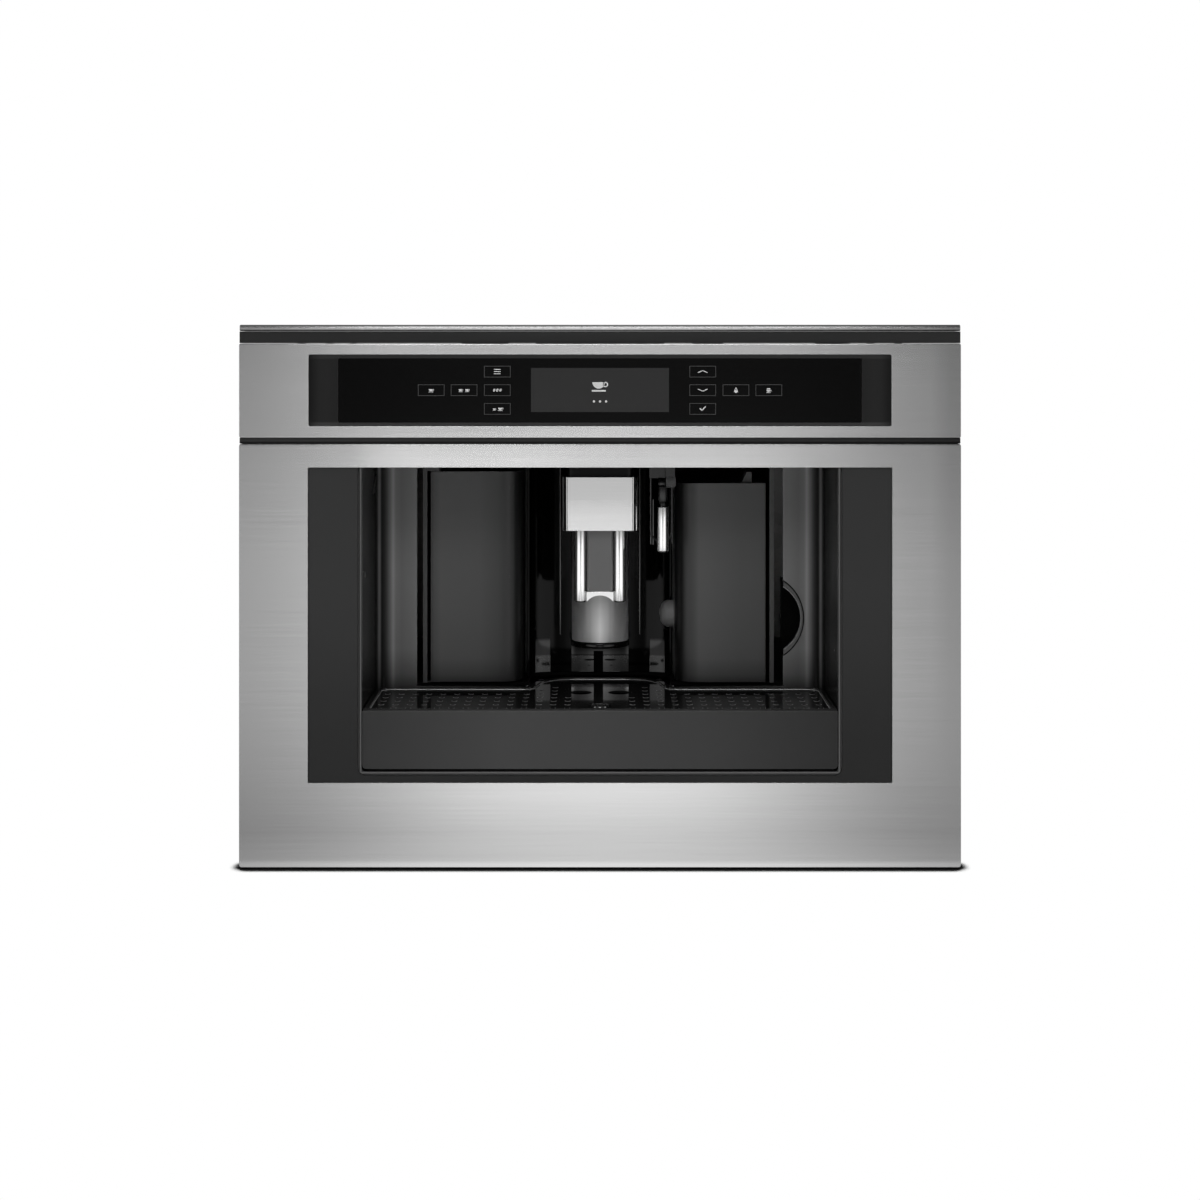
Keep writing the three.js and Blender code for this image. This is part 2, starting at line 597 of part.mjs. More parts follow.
function recessWall() {
  const s = new THREE.Shape();
  const leg = 133;
  const inner = RECESS_HALF - RECESS_WALL;
  s.moveTo(-inner, leg);
  s.lineTo(-RECESS_HALF, leg);
  s.lineTo(-RECESS_HALF, RECESS_SIDE);
  recessCurve(s, 0);
  s.lineTo(inner, RECESS_SIDE);
  recessCurve(s, -RECESS_WALL, -1);
  put('recess_wall', GLOSS_BLACK, alongZ(s, SEAT, CUT_TOP - GAP, 9));
}

// The shelf that carries the door, the tank and the brew group, notched round the recess.
function midShelf() {
  const s = new THREE.Shape();
  const back = CASE_BACK - SHEET - GAP;
  const half = CASE_HALF - SHEET - GAP;
  const edge = CHEEK_BACK + GAP;
  const step = CHEEK_INNER + 3;
  const inner = RECESS_HALF - RECESS_WALL;
  s.moveTo(-half, edge + 4);
  s.lineTo(-step, edge + 4);
  s.lineTo(-step, edge);
  s.lineTo(-inner, edge);
  s.lineTo(-inner, RECESS_SIDE);
  recessCurve(s, -RECESS_WALL);
  s.lineTo(inner, edge);
  s.lineTo(step, edge);
  s.lineTo(step, edge + 4);
  s.lineTo(half, edge + 4);
  s.lineTo(half, back);
  s.lineTo(-half, back);
  put('mid_shelf', MATTE_BLACK, alongZ(s, SHELF_LOW, SHELF_TOP, 9));
}

// Folded channel under the shelf: it guides the rear of the drip tray and holds the shelf up.
function trayChannel() {
  const front = CHEEK_BACK + GAP;
  const back = CASE_BACK - 2 * SHEET - 2 * GAP;
  const half = TRAY_MID_HALF + 3.5;
  const inner = half - SHEET;
  const foot = CASE_LOW + SHEET + GAP;
  const floor = TRAY_LOW - GAP;
  const outer = box(-half, half, front, back, foot, SHELF_LOW - GAP);
  const above = box(-inner, inner, front - 1, back + 1, floor, SHELF_LOW);
  const below = box(-inner, inner, front - 1, back + 1, 0, floor - SHEET);
  let channel = outer.subtract(above).subtract(below);
  for (const d of [190, 300]) {
    channel = channel.subtract(alongX(rectangle(d - 32, d + 32, 24, 60, 8), -half - 5, half + 5, 1));
  }
  put('tray_channel', ZINC, channel);
}

function column() {
  const back = RECESS_BACK - RECESS_WALL - GAP;
  const centre = back - 21;
  const front = HEAD_BACK + GAP;
  const body = alongZ(circle(0, centre, COLUMN_R), COLUMN_LOW + 6.6, CUT_TOP - GAP, 16);
  const foot = alongZ(circle(0, centre, COLUMN_R + 1), COLUMN_LOW, COLUMN_LOW + 5.4, 16);
  const waist = alongZ(circle(0, centre, COLUMN_R - 0.8), COLUMN_LOW + 5, COLUMN_LOW + 7, 16);
  const slab = box(-COLUMN_R - 5, COLUMN_R + 5, front, back, COLUMN_LOW - 5, CUT_TOP);
  put('column', COLUMN_GREY, union(body, foot, waist).intersect(slab));
}

// The shell of a bay behind the niche, on the side of x = strip: a strip at the front that runs back as
// the outer wall, a rear wall, an inner wall beside the recess and a top plate.
function bayShell(strip, back) {
  const t = BAY_WALL;
  const sign = Math.sign(strip);
  const [inner, outer] = [sign * BAY_INNER, strip + sign * BAY_STRIP];
  const span = (a, b, d0, d1, z0, z1) => box(Math.min(a, b), Math.max(a, b), d0, d1, z0, z1);
  const plate = span(inner, outer, BAY_FACE + 18, back, BAY_TOP - t, BAY_TOP);
  const side = span(outer - sign * t, outer, BAY_FACE, back, SEAT, BAY_TOP);
  const edge = span(strip, outer, BAY_FACE, BAY_FACE + 10, SEAT, BAY_TOP);
  const rear = span(inner, outer, back - t, back, SEAT, BAY_TOP);
  const near = span(inner, inner + sign * t, RECESS_SIDE + 4, back, SEAT, BAY_TOP);
  return union(plate, side, edge, rear, near);
}

function bays() {
  put('tank_bay', SATIN_GREY, bayShell(TANK_RIGHT + 3.4, TANK_BACK + 4.5));
  // the brew bay carries the hinge: an arm over the door, and the pin that the door turns on
  const outside = DOOR_LEFT - 6;
  const armShape = rectangle(outside, PIN_X + 4, PIN_D - 4, PIN_D + 4, [0, 4, 4, 0]);
  const arm = alongZ(armShape, DOOR_TOP + 0.5, BAY_TOP, 2);
  const pin = alongZ(circle(PIN_X, PIN_D, PIN_R), SEAT, DOOR_TOP + 1, 8);
  const foot = box(outside, PIN_X + 3, PIN_D - 2, PIN_D + 3, SEAT, SEAT + 0.4);
  const chuteHole = alongZ(circle(BREW_X, BREW_D, CHUTE_R + GAP), BAY_TOP - 6, BAY_TOP + 4, 8);
  const shell = bayShell(DOOR_LEFT - 3.2, BREW_BAY_BACK).subtract(chuteHole);
  put('brew_bay', SATIN_GREY, union(shell, arm, pin, foot));
}

function tankGrip() {
  const [front, back] = [CHEEK_BACK + GAP, CHEEK_BACK + 19.8];
  const flange = alongD(scoopOutline(3), front, front + 1.6, 9);
  const cup = alongD(scoopOutline(1.6), front, back, 9);
  const bore = alongD(scoopOutline(-0.4), front - 1, back - 1.6, 9);
  const keep = box(CHEEK_INNER - 0.4, NICHE_HALF, front - 10, back + 10, SHELF_TOP + 1, GRIP_Z + 70);
  put('tank_grip', SATIN_GREY, union(flange, cup).subtract(bore).intersect(keep));
}

// ---------------------------------------------------------------- door
// A shell 3 mm thick whose right edge rolls back, on a barrel that fits the hinge pin.
function serviceDoor() {
  const t = DOOR_SKIN;
  const roll = ROLL_DEPTH + 0.5;
  const face = BAY_FACE;
  const s = new THREE.Shape();
  s.moveTo(DOOR_LEFT, face);
  s.lineTo(DOOR_RIGHT - roll, face);
  s.quadraticCurveTo(DOOR_RIGHT - 1.5, face, DOOR_RIGHT, face + ROLL_DEPTH);
  s.lineTo(DOOR_RIGHT - t, face + ROLL_DEPTH);
  s.quadraticCurveTo(DOOR_RIGHT - t - 2.2, face + t, DOOR_RIGHT - roll - 1, face + t);
  s.lineTo(DOOR_LEFT, face + t);
  const shell = alongZ(s, DOOR_LOW, DOOR_TOP, 8);
  const barrel = alongZ(circle(PIN_X, PIN_D, BARREL_R), DOOR_LOW, DOOR_TOP, 8);
  const bore = alongZ(circle(PIN_X, PIN_D, PIN_R + PIN_CLEAR), DOOR_LOW - 1, DOOR_TOP + 1, 8);
  let door = union(shell, barrel);
  // three ribs stiffen the shell
  const [ribEnd, ribBack] = [DOOR_RIGHT - 12, face + 2 * t];
  for (const z of [DOOR_LOW + 14.2, (DOOR_LOW + DOOR_TOP) / 2, DOOR_TOP - 14.7]) {
    door = door.add(box(PIN_X, ribEnd, face + 1, ribBack, z - 1, z + 1));
  }
  put('service_door', SATIN_GREY, door.subtract(bore));
}

// ---------------------------------------------------------------- tank
function tankOutline(inset, front, back) {
  const left = TANK_LEFT + inset;
  const s = new THREE.Shape();
  s.moveTo(TANK_RIGHT, front);
  s.lineTo(TANK_RIGHT, back);
  s.lineTo(left, back);
  s.lineTo(left, BAY_FACE + 18);
  s.quadraticCurveTo(left + 1.5, front, left + 18.5, front);
  return s;
}

// The tank in three pieces: the front cover with its boss, the body with its valve, and the lid.
function tank() {
  const t = TANK_WALL;
  const skin = TANK_SKIN;
  const coverOuter = alongZ(tankOutline(0, BAY_FACE, COVER_END), SEAT, TANK_TOP, 8);
  const coverInner = alongZ(tankOutline(skin, BAY_FACE + skin, COVER_END + 10), SEAT - 1, TANK_TOP + 1, 8);
  const root = TANK_LEFT + 1;
  const peg = turnedAlongX([
    [0, root - 13.8], [4, root - 13.5], [8, root - 12.2], [PEG_R - 1.6, root - 10.1], [PEG_R, root - 7.1],
    [PEG_R, root], [0, root],
  ], PEG_D, GRIP_Z, 20);
  put('tank_front', SATIN_GREY, union(coverOuter.subtract(coverInner), peg));

  const inner = skin + GAP;
  const bodyTop = TANK_TOP - 5.4;
  const body = alongZ(tankOutline(inner, BAY_FACE + inner, TANK_BACK), SEAT, bodyTop, 5);
  const inside = box(0, TANK_RIGHT - t, 0, DEPTH, 0, HEIGHT);
  const hollow = alongZ(tankOutline(inner + t, BAY_FACE + inner + t, TANK_BACK - t), SEAT + t, HEIGHT, 5);
  const valve = turned([
    [0, SEAT + 1], [9, SEAT + 1], [9, SEAT + 9], [3, SEAT + 14], [0, SEAT + 14],
  ], (TANK_LEFT + TANK_RIGHT) / 2, TANK_BACK - 27, 14);
  put('water_tank', SMOKED, union(body.subtract(hollow.intersect(inside)), valve));

  // flat lid with a skirt inside the tank and a finger tab at the front
  const low = bodyTop + GAP;
  const lid = alongZ(tankOutline(inner, BAY_FACE + inner, TANK_BACK), low, low + 2.4, 5);
  const skirtAt = tankOutline(inner + t + GAP, BAY_FACE + inner + t + GAP, TANK_BACK - t - GAP);
  const keep = box(0, TANK_RIGHT - t - GAP, 0, DEPTH, low - 4, low + 1);
  const core = box(TANK_LEFT + 14, TANK_RIGHT - t - 4, BAY_FACE + 22, TANK_BACK - 8, low - 9, low);
  const skirt = alongZ(skirtAt, low - 4, low + 1, 5).intersect(keep).subtract(core);
  const [x0, x1, foot, crest] = [TANK_RIGHT - 22.5, TANK_RIGHT - 12, low + 2, TANK_TOP + 9.4];
  const tabShape = polygon([[x0, foot], [x0 + 6.1, crest], [x1, crest], [x1, foot]]);
  put('tank_lid', SATIN_GREY, union(lid, skirt, alongD(tabShape, BAY_FACE + 4.5, BAY_FACE + 28)));
}

// ---------------------------------------------------------------- drip tray
// Plan outline of the basin, drawn inwards by the inset: wide at the front, a tongue behind.
function trayOutline(inset, front) {
  const [half, back, mid, end] = [
    TRAY_HALF - inset, TRAY_BACK - inset, TRAY_MID_HALF - inset, TRAY_MID_BACK - inset,
  ];
  const r = Math.max(14 - inset, 4);
  const s = new THREE.Shape();
  s.moveTo(-half, front);
  s.lineTo(half, front);
  s.lineTo(half, back - r);
  s.absarc(half - r, back - r, r, 0, Math.PI / 2, false);
  s.lineTo(mid + 20, back);
  s.bezierCurveTo(mid + 4, back, mid, back + 0.5, mid - 1, back + 12);
  s.bezierCurveTo(mid - 4, end - 8, 36, end, 22, end);
  s.lineTo(-22, end);
  s.bezierCurveTo(-36, end, -mid + 4, end - 8, -mid + 1, back + 12);
  s.bezierCurveTo(-mid, back + 0.5, -mid - 4, back, -mid - 20, back);
  s.lineTo(-half + r, back);
  s.absarc(-half + r, back - r, r, Math.PI / 2, Math.PI, false);
  return s;
}

function dripTray() {
  const front = TRAY_FACE + GAP;
  const floor = TRAY_LOW + TRAY_FLOOR;
  const section = rectangle(-TRAY_HALF, TRAY_HALF, TRAY_LOW, TRAY_RIM, [4.4, 4.4, 0, 0]);
  const basin = alongZ(trayOutline(0, front), TRAY_LOW, TRAY_RIM, 5).intersect(alongD(section, 0, DEPTH, 2));
  const seat = alongZ(trayOutline(GRATE_INSET - GAP, front + 2.4), GRATE_TOP - GRATE_THICK - GAP, HEIGHT, 5);
  const hollow = alongZ(trayOutline(9, front + 7), floor, HEIGHT, 4);
  // behind the basin a low carrier holds the grounds container
  const half = TRAY_MID_HALF;
  const wall = half - GROUNDS_HALF - 0.4;
  const carrier = box(-half, half, TRAY_MID_BACK - 6, TRAY_END, TRAY_LOW, TRAY_LOW + 12);
  const [pocketFront, pocketBack] = [TRAY_MID_BACK + 3, TRAY_END - 3];
  const pocket = box(-half + wall, half - wall, pocketFront, pocketBack, floor, HEIGHT);
  const overCarrier = box(-half - 8, half + 8, TRAY_MID_BACK + 0.1, DEPTH, floor, HEIGHT);
  const tail = carrier.subtract(pocket).subtract(hollow);
  put('drip_tray', MATTE_BLACK, union(basin.subtract(hollow).subtract(seat).subtract(overCarrier), tail));
}

function trayFront() {
  const half = NICHE_HALF - 0.5;
  const shape = rectangle(-half, half, TRAY_LOW + 2, TRAY_RIM - 0.7, [3, 3, 0.8, 0.8]);
  put('tray_front', MATTE_BLACK, alongD(shape, 0.2, TRAY_FACE, 4));
}

// Where the small holes go, in (x, depth): columns on either side of the catch holes, with more rows
// where the tongue runs back, and a lone pair before and behind the catch holes.
function grateHoles() {
  const holes = [[13.6, 48], [13.9, 132]];
  for (let column = 0; column < GRATE_COLUMNS; column += 1) {
    const rows = TONGUE_ROWS[column] ?? GRATE_ROWS;
    for (let row = 0; row < rows; row += 1) {
      holes.push([COLUMN_START + column * HOLE_PITCH_X, ROW_START + row * HOLE_PITCH_D]);
    }
  }
  return holes.flatMap(([x, d]) => [[x, d, HOLE_R, 3], [-x, d, HOLE_R, 3]]);
}

// Perforated drip grate: rows of small holes, two catch holes under the spouts, one for the float.
function dripGrate() {
  const low = GRATE_TOP - GRATE_THICK;
  const plate = alongZ(trayOutline(GRATE_INSET, TRAY_FACE + GRATE_INSET), low, GRATE_TOP, 5);
  const catches = [-SPOUT_X, SPOUT_X].map((x) => [x, SPOUT_D + 2, CATCH_R, 14]);
  const holes = [...grateHoles(), ...catches, [0, FLOAT_D, FLOAT_R, 14]];
  const cuts = holes.map(([x, d, r, segments]) => alongZ(circle(x, d, r), low - 1, GRATE_TOP + 1, segments));
  put('drip_grate', GLOSS_BLACK, plate.subtract(union(...cuts)));
}

// Water-level float: a hollow disc on the tray floor with a domed stem through the grate.
function trayFloat() {
  const low = TRAY_LOW + TRAY_FLOOR + GAP;
  const stem = FLOAT_R - 1.8;
  put('tray_float', GLOSS_BLACK, turned([
    [0, low], [13, low], [14, low + 1], [14, low + 12], [12.4, low + 14], [stem + 0.2, low + 16],
    [stem, GRATE_TOP - 1], [stem - 0.8, GRATE_TOP + 0.6], [stem / 2, GRATE_TOP + 1.9], [0, GRATE_TOP + 2.2],
  ], 0, FLOAT_D, 22));
}

function groundsContainer() {
  const low = TRAY_LOW + TRAY_FLOOR + GAP;
  const [d0, d1] = [TRAY_MID_BACK + 3 + GAP, TRAY_END - 3 - GAP];
  const [half, wall] = [GROUNDS_HALF, 2];
  const outer = alongZ(rectangle(-half, half, d0, d1, 8), low, TRAY_RIM - 3, 4);
  const hole = rectangle(-half + wall, half - wall, d0 + wall, d1 - wall, 6);
  put('grounds_container', SATIN_GREY, outer.subtract(alongZ(hole, low + wall, TRAY_RIM, 4)));
}

// ---------------------------------------------------------------- dispenser head and spouts
function dispenserHead() {
  const [half, front, back] = [HEAD_HALF, HEAD_FRONT, HEAD_BACK];
  const faceHalf = half - 5.1;
  const body = alongZ(rectangle(-half, half, front, back, [9, 9, 0, 0]), HEAD_LOW, HEAD_TOP, 10);
  const core = rectangle(-half + 6.2, half - 6.2, front + 5, back - 4, 4);
  const inner = alongZ(core, HEAD_LOW - 1, HEAD_TOP - 2.4, 4);
  const pocket = box(-faceHalf - GAP, faceHalf + GAP, front - 1, front + 2, HEAD_LOW - 1, HEAD_TOP + 1);
  put('head_shell', POLISHED, body.subtract(inner).subtract(pocket));
  const face = rectangle(-faceHalf, faceHalf, HEAD_LOW + 0.2, HEAD_TOP - 0.2, 0.8);
  put('head_face', BRUSHED, alongD(face, front - 0.2, front + 1.7, 3));
}

// Two tubes on a carrier that slides up inside the head, with a bridge between their ends.
function spouts() {
  const top = HEAD_LOW + 2.4;
  const bore = SPOUT_R - 2;
  const lip = SPOUT_R - 0.7;
  for (const [name, x] of [['spout_tube_left', -SPOUT_X], ['spout_tube_right', SPOUT_X]]) {
    put(name, POLISHED, turned([
      [bore, SPOUT_LOW], [lip, SPOUT_LOW], [lip, SPOUT_LOW + 2], [SPOUT_R, SPOUT_LOW + 2.4],
      [SPOUT_R, top - GAP], [bore, top - GAP], [bore, SPOUT_LOW],
    ], x, SPOUT_D, 22));
  }
  const sliderHalf = HEAD_HALF - 6.5;
  const sliderShape = rectangle(-sliderHalf, sliderHalf, SPOUT_D - 10.5, SPOUT_D + 10.5, 3);
  const slider = alongZ(sliderShape, top, top + 7.4, 4);
  const bores = [-SPOUT_X, SPOUT_X].map((x) => alongZ(circle(x, SPOUT_D, bore), top - 1, top + 9, 8));
  const panelHalf = SPOUT_X - SPOUT_R - 1.6;
  const bridgeTop = SPOUT_LOW + 9.5;
  const panel = box(-panelHalf, panelHalf, SPOUT_D - 4.6, SPOUT_D + 5, bridgeTop + GAP, top + 1);
  put('spout_carrier', MID_GREY, union(slider, panel).subtract(bores[0]).subtract(bores[1]));
  const side = SPOUT_X - SPOUT_R - GAP;
  const bridge = box(-side, side, SPOUT_D - 5.2, SPOUT_D + 5.6, SPOUT_LOW + 1.8, bridgeTop);
  const archShape = new THREE.Shape();
  archShape.absellipse(0, SPOUT_LOW + 1.2, side - 2.7, 4.8, 0, 2 * Math.PI, false, 0);
  const arch = alongD(archShape, SPOUT_D - 20, SPOUT_D + 20, 10);
  put('spout_bridge', POLISHED, bridge.subtract(arch));
}

// Steam nozzle on a cross pin, and the block under the ceiling with a wire guard behind the nozzle.
function steamNozzle() {
  const [x, d, pivot] = [NOZZLE_X, NOZZLE_D, NOZZLE_PIVOT];
  const [tubeLow, tubeTop, r] = [pivot - 60.1, pivot - 20.5, 5];
  const barrel = turnedAlongX([[0, x - 3.9], [3.2, x - 3.9], [3.2, x + 2.2], [0, x + 2.2]], d, pivot, 14);
  const stem = turned([[0, tubeTop - 2], [1.7, tubeTop - 2], [1.7, pivot], [0, pivot]], x, d, 10);
  const bore = r - 2.6;
  const tube = turned([
    [bore, tubeLow], [r - 0.7, tubeLow], [r, tubeLow + 1.2], [r, tubeTop - 1.4], [r - 0.8, tubeTop],
    [0, tubeTop], [0, tubeTop - 8], [bore, tubeTop - 8], [bore, tubeLow],
  ], x, d, 20);
  put('steam_nozzle', POLISHED, union(barrel, stem, tube));

  const [side, top, back] = [x + 2.5, CUT_TOP - GAP, d + 13];
  const block = box(side, side + 7.8, d - 7, back, pivot - 3.7, top);
  const plate = box(x - 11.5, side + 7.8, d + 9, back, pivot + 3.5, top);
  const w = d + 11;
  const [left, right] = [x - 10, x + 8];
  const wire = rod([
    [left, w, pivot + 7.5], [left, w, pivot - 12.5], [left, w, pivot - 44.5], [left + 2.5, w, pivot - 50],
    [x - 1, w, pivot - 51.9], [right - 2.5, w, pivot - 50], [right, w, pivot - 44.5],
    [right, w, pivot - 12.5], [right, w, pivot - 0.5],
  ], 1.1, 20);
  put('nozzle_bracket', SATIN_GREY, union(block, plate, wire));
}

// ---------------------------------------------------------------- works behind the niche
// Brew group: an open frame on the shelf round the brew chamber, with the piston that rises in it.
function brewGroup() {
  const [low, top, open] = [SEAT, BREW_TOP, SEAT + 14];
  const [x0, x1, d0, d1] = [DOOR_LEFT + 6, -BAY_INNER - 7.4, BREW_D - 82, BREW_D + 53];
  const outer = alongZ(rectangle(x0, x1, d0, d1, 6), low, top, 2);
  const windowCut = alongX(rectangle(d0 + 12, d1 - 12, open, top - 10, 8), x0 - 5, x1 + 5, 1);
  const mouth = alongD(rectangle(x0 + 8, x1 - 8, open, top - 10, 8), d0 - 5, d1 + 5, 1);
  const [r, bore, rim] = [CHAMBER_R, CHAMBER_BORE, PISTON_LOW + 54];
  const chamber = turned([
    [0, low + 8], [r - 1, low + 8], [r, low + 12], [r, rim - 2], [bore + 2.4, rim], [bore, rim],
    [bore, PISTON_LOW], [0, PISTON_LOW],
  ], BREW_X, BREW_D, 22);
  const throat = alongZ(circle(BREW_X, BREW_D, 21), top - 16, top + 4, 9);
  const frame = outer.subtract(windowCut).subtract(mouth).subtract(throat);
  put('brew_group', MATTE_BLACK, union(frame, chamber));

  const [p, pr] = [PISTON_LOW + GAP, bore - GAP];
  put('brew_piston', MID_GREY, turned([
    [0, p], [pr, p], [pr, p + 9.7], [pr - 1.4, p + 10.7], [pr - 1.4, p + 12.7], [pr, p + 13.7],
    [pr, p + 17.7], [pr - 2, p + 19.7], [0, p + 19.7],
  ], BREW_X, BREW_D, 22));
}

// Grinder body with a burr chamber in its head, and the cone burr that turns in it.
function grinder() {
  const [low, top] = [SEAT, GRINDER_TOP];
  const floor = top - 31.4;
  put('grinder', MATTE_BLACK, turned([
    [0, low], [38, low], [38, low + 6], [34, low + 8], [34, floor - 56], [44, floor - 48], [44, top - 9.4],
    [40, top - 5.4], [26, top], [20, top], [20, top - 5.4], [24, floor + 10], [22, floor], [0, floor],
  ], 0, HOPPER_D, 22));
  const cone = floor + GAP;
  put('burr_cone', CAST, turned([
    [0, cone], [15, cone], [16, cone + 5.7], [12, cone + 17.7], [6, cone + 25.7], [0, cone + 27.7],
  ], 0, HOPPER_D, 12));
}

// Eight-sided bean funnel hung in the top cover, and its lid.
function beanHopper() {
  const neckLow = GRINDER_TOP + GAP;
  const [neck, mouth, flange] = [NECK_R, HOPPER_R - 2.6, HOPPER_R + 6];
  const t = HOPPER_WALL;
  const seat = COVER_SEAT;
  put('bean_hopper', SMOKED, turned([
    [neck - t, neckLow], [neck, neckLow], [mouth, seat], [flange, seat], [flange, seat + t],
    [mouth - 1, seat + t], [neck - t, neckLow],
  ], 0, HOPPER_D, 8));
  const [low, thick] = [seat + t + GAP, 2.6];
  const disc = alongZ(circle(0, HOPPER_D, flange - 1), low, low + thick, 15);
  const ear = box(-14, 14, HOPPER_D + HOPPER_R, HOPPER_D + HOPPER_R + 12, low, low + thick);
  const knobShape = rectangle(-16, 16, HOPPER_D - HOPPER_R + 6, HOPPER_D - HOPPER_R + 12, 3);
  const knob = alongZ(knobShape, low + thick - 0.6, low + thick + 3.8, 4);
  put('hopper_lid', SMOKED, union(disc, ear, knob));
}

// Eight-sided chute for ready-ground coffee, from the top cover down to the brew group, and its lid.
function powderChute() {
  const [low, seat, t] = [BREW_TOP + 0.6, COVER_SEAT, 2];
  const flange = CHUTE_R + 8;
  put('powder_chute', MATTE_BLACK, turned([
    [CHUTE_BORE, low], [CHUTE_R, low], [CHUTE_R, seat], [flange, seat], [flange, seat + t],
    [CHUTE_BORE, seat + t], [CHUTE_BORE, low],
  ], BREW_X, BREW_D, 8));
  const lid = seat + t + GAP;
  const disc = alongZ(circle(BREW_X, BREW_D, flange - 0.5), lid, lid + 2.2, 14);
  const ear = box(BREW_X - 7, BREW_X + 7, BREW_D + 18, BREW_D + 27, lid, lid + 2.2);
  const lip = box(BREW_X - 6, BREW_X + 6, BREW_D - 20, BREW_D - 17, lid + 1, lid + 4.4);
  put('chute_lid', SATIN_GREY, union(disc, ear, lip));
}

// Grind-size dial on the top cover: a fluted knob on a shaft.
function grindDial() {
  const [low, r, flutes] = [COVER_SEAT, DIAL_R, 9];
  const top = low + 8.4;
  let knob = turned([[0, low], [r, low], [r, top - 1.4], [r - 1.4, top], [0, top]], DIAL_X, HOPPER_D, 27);
  for (let i = 0; i < flutes; i += 1) {
    const a = (i * 2 * Math.PI) / flutes;
    const [x, d] = [DIAL_X + (r + 1.2) * Math.cos(a), HOPPER_D + (r + 1.2) * Math.sin(a)];
    knob = knob.subtract(alongZ(circle(x, d, 2.2), low + 2, top + 4, 3));
  }
  const pointer = box(DIAL_X - 0.8, DIAL_X + 0.8, HOPPER_D - r + 2, HOPPER_D - 5, top - 0.8, top + 4);
  const shaft = turned([
    [0, low - 8], [DIAL_SHAFT, low - 8], [DIAL_SHAFT, low + 1], [0, low + 1],
  ], DIAL_X, HOPPER_D, 14);
  put('grind_dial', SATIN_GREY, union(knob.subtract(pointer), shaft));
}

// Main rocker switch in the top cover, reached when the machine is pulled out.
function mainSwitch() {
  const [x, d, low] = [SWITCH_X, SWITCH_D, COVER_SEAT];
  const bezel = box(x - 12, x + 12, d - 17, d + 17, low, low + 1.4);
  const well = box(x - 8.7, x + 8.7, d - 13.7, d + 13.7, low - 16, low + 1);
  const bore = box(x - 7, x + 7, d - 12, d + 12, low - 13, low + 3);
  put('switch_bezel', MATTE_BLACK, union(bezel, well).subtract(bore));
  // the rocker is drawn level about its own axis, then set with its front end pressed down
  const s = new THREE.Shape();
  s.moveTo(-10.8, 6);
  s.lineTo(0, 4.2);
  s.lineTo(10.8, 6);
  s.lineTo(10.2, 1);
  s.quadraticCurveTo(0, -9, -10.2, 1);
  const rocker = alongX(s, x - 6.7, x + 6.7, 4).translate([0, -FRONT, 0]).rotate([SWITCH_TILT, 0, 0]);
  put('main_switch', MATTE_BLACK, rocker.translate([0, FRONT + d, low - 3]));
}

// Cast heater block with fins on both sides and two pipe stubs on top.
function thermoblock() {
  const [x0, x1, d0, d1] = [TANK_RIGHT + 30, CASE_HALF - 18, 150, 262];
  const [low, top] = [SEAT, 236];
  let block = alongZ(rectangle(x0, x1, d0, d1, 6), low, top, 2);
  for (let i = 0; i < 5; i += 1) {
    const d = d0 + 12 + 19 * i;
    block = block.subtract(box(x0 - 6, x0 + 6, d, d + 10, low + 12, top - 8));
    block = block.subtract(box(x1 - 6, x1 + 6, d, d + 10, low + 12, top - 8));
  }
  const stub = turned([
    [0, top - 6], [7, top - 6], [7, top + 12], [5, top + 16], [0, top + 16],
  ], (x0 + x1) / 2, d0 + 30, 12);
  put('thermoblock', CAST, union(block, stub, stub.translate([0, 52, 0])));
}

// Vibration pump lying on two feet, with a hose barb at each end.
function waterPump() {
  const [x, low, middle] = [-214, SEAT, 230];
  const z = low + 34;
  const half = [
    [0, 70], [6, 70], [6, 54], [17, 54], [17, 33], [26, 33],
  ];
  const front = half.map(([r, away]) => [r, middle - away]);
  const back = half.map(([r, away]) => [r, middle + away]).reverse();
  const body = turnedAlongD([...front, ...back], x, z, 16);
  const plate = box(x - 28, x + 28, middle - 34, middle + 32, low, low + 3);
  const feet = [-26, 24].map((d) => box(x - 24, x + 24, middle + d - 4, middle + d + 4, low, z - 6));
  put('water_pump', MATTE_BLACK, union(body, plate, ...feet));
}

// Power inlet in the rear of the casing: a flanged well with three pins. The cord is left out.
function powerInlet() {
  const [x, z, front] = [INLET_X, INLET_Z, CASE_BACK + GAP];
  const flange = alongD(rectangle(x - 25, x + 25, z - 12, z + 12, 4), front, front + 2.6, 4);
  const well = box(x - 13.7, x + 13.7, CASE_BACK - 22, front + 1, z - 9.7, z + 9.7);
  const socketShape = rectangle(x - 11.6, x + 11.6, z - 8, z + 8, [5, 5, 1, 1]);
  let inlet = union(flange, well).subtract(alongD(socketShape, CASE_BACK - 18, front + 5, 3));
  for (const [dx, dz] of [[0, 3], [-6, -2], [6, -2]]) {
    const pin = box(x + dx - 1, x + dx + 1, CASE_BACK - 19, CASE_BACK - 4, z + dz - 2, z + dz + 2);
    inlet = inlet.add(pin);
  }
  put('power_inlet', MATTE_BLACK, inlet);
}

slides();
rearTieBar();
basePan();
casingWrap();
topCover();
frontFrame();
lowerFascia();
controlPanel();
topBand();
topLedge();
windowFrame();
windowGlass();
controlBoard();
nicheBezel();
nicheRim();
nicheLiner();
recessWall();
midShelf();
trayChannel();
column();
bays();
tankGrip();
serviceDoor();
tank();
dripTray();
trayFront();
dripGrate();
trayFloat();
groundsContainer();
dispenserHead();
spouts();
steamNozzle();
brewGroup();
grinder();
beanHopper();
powderChute();
grindDial();
mainSwitch();
thermoblock();
waterPump();
powerInlet();

export default group;
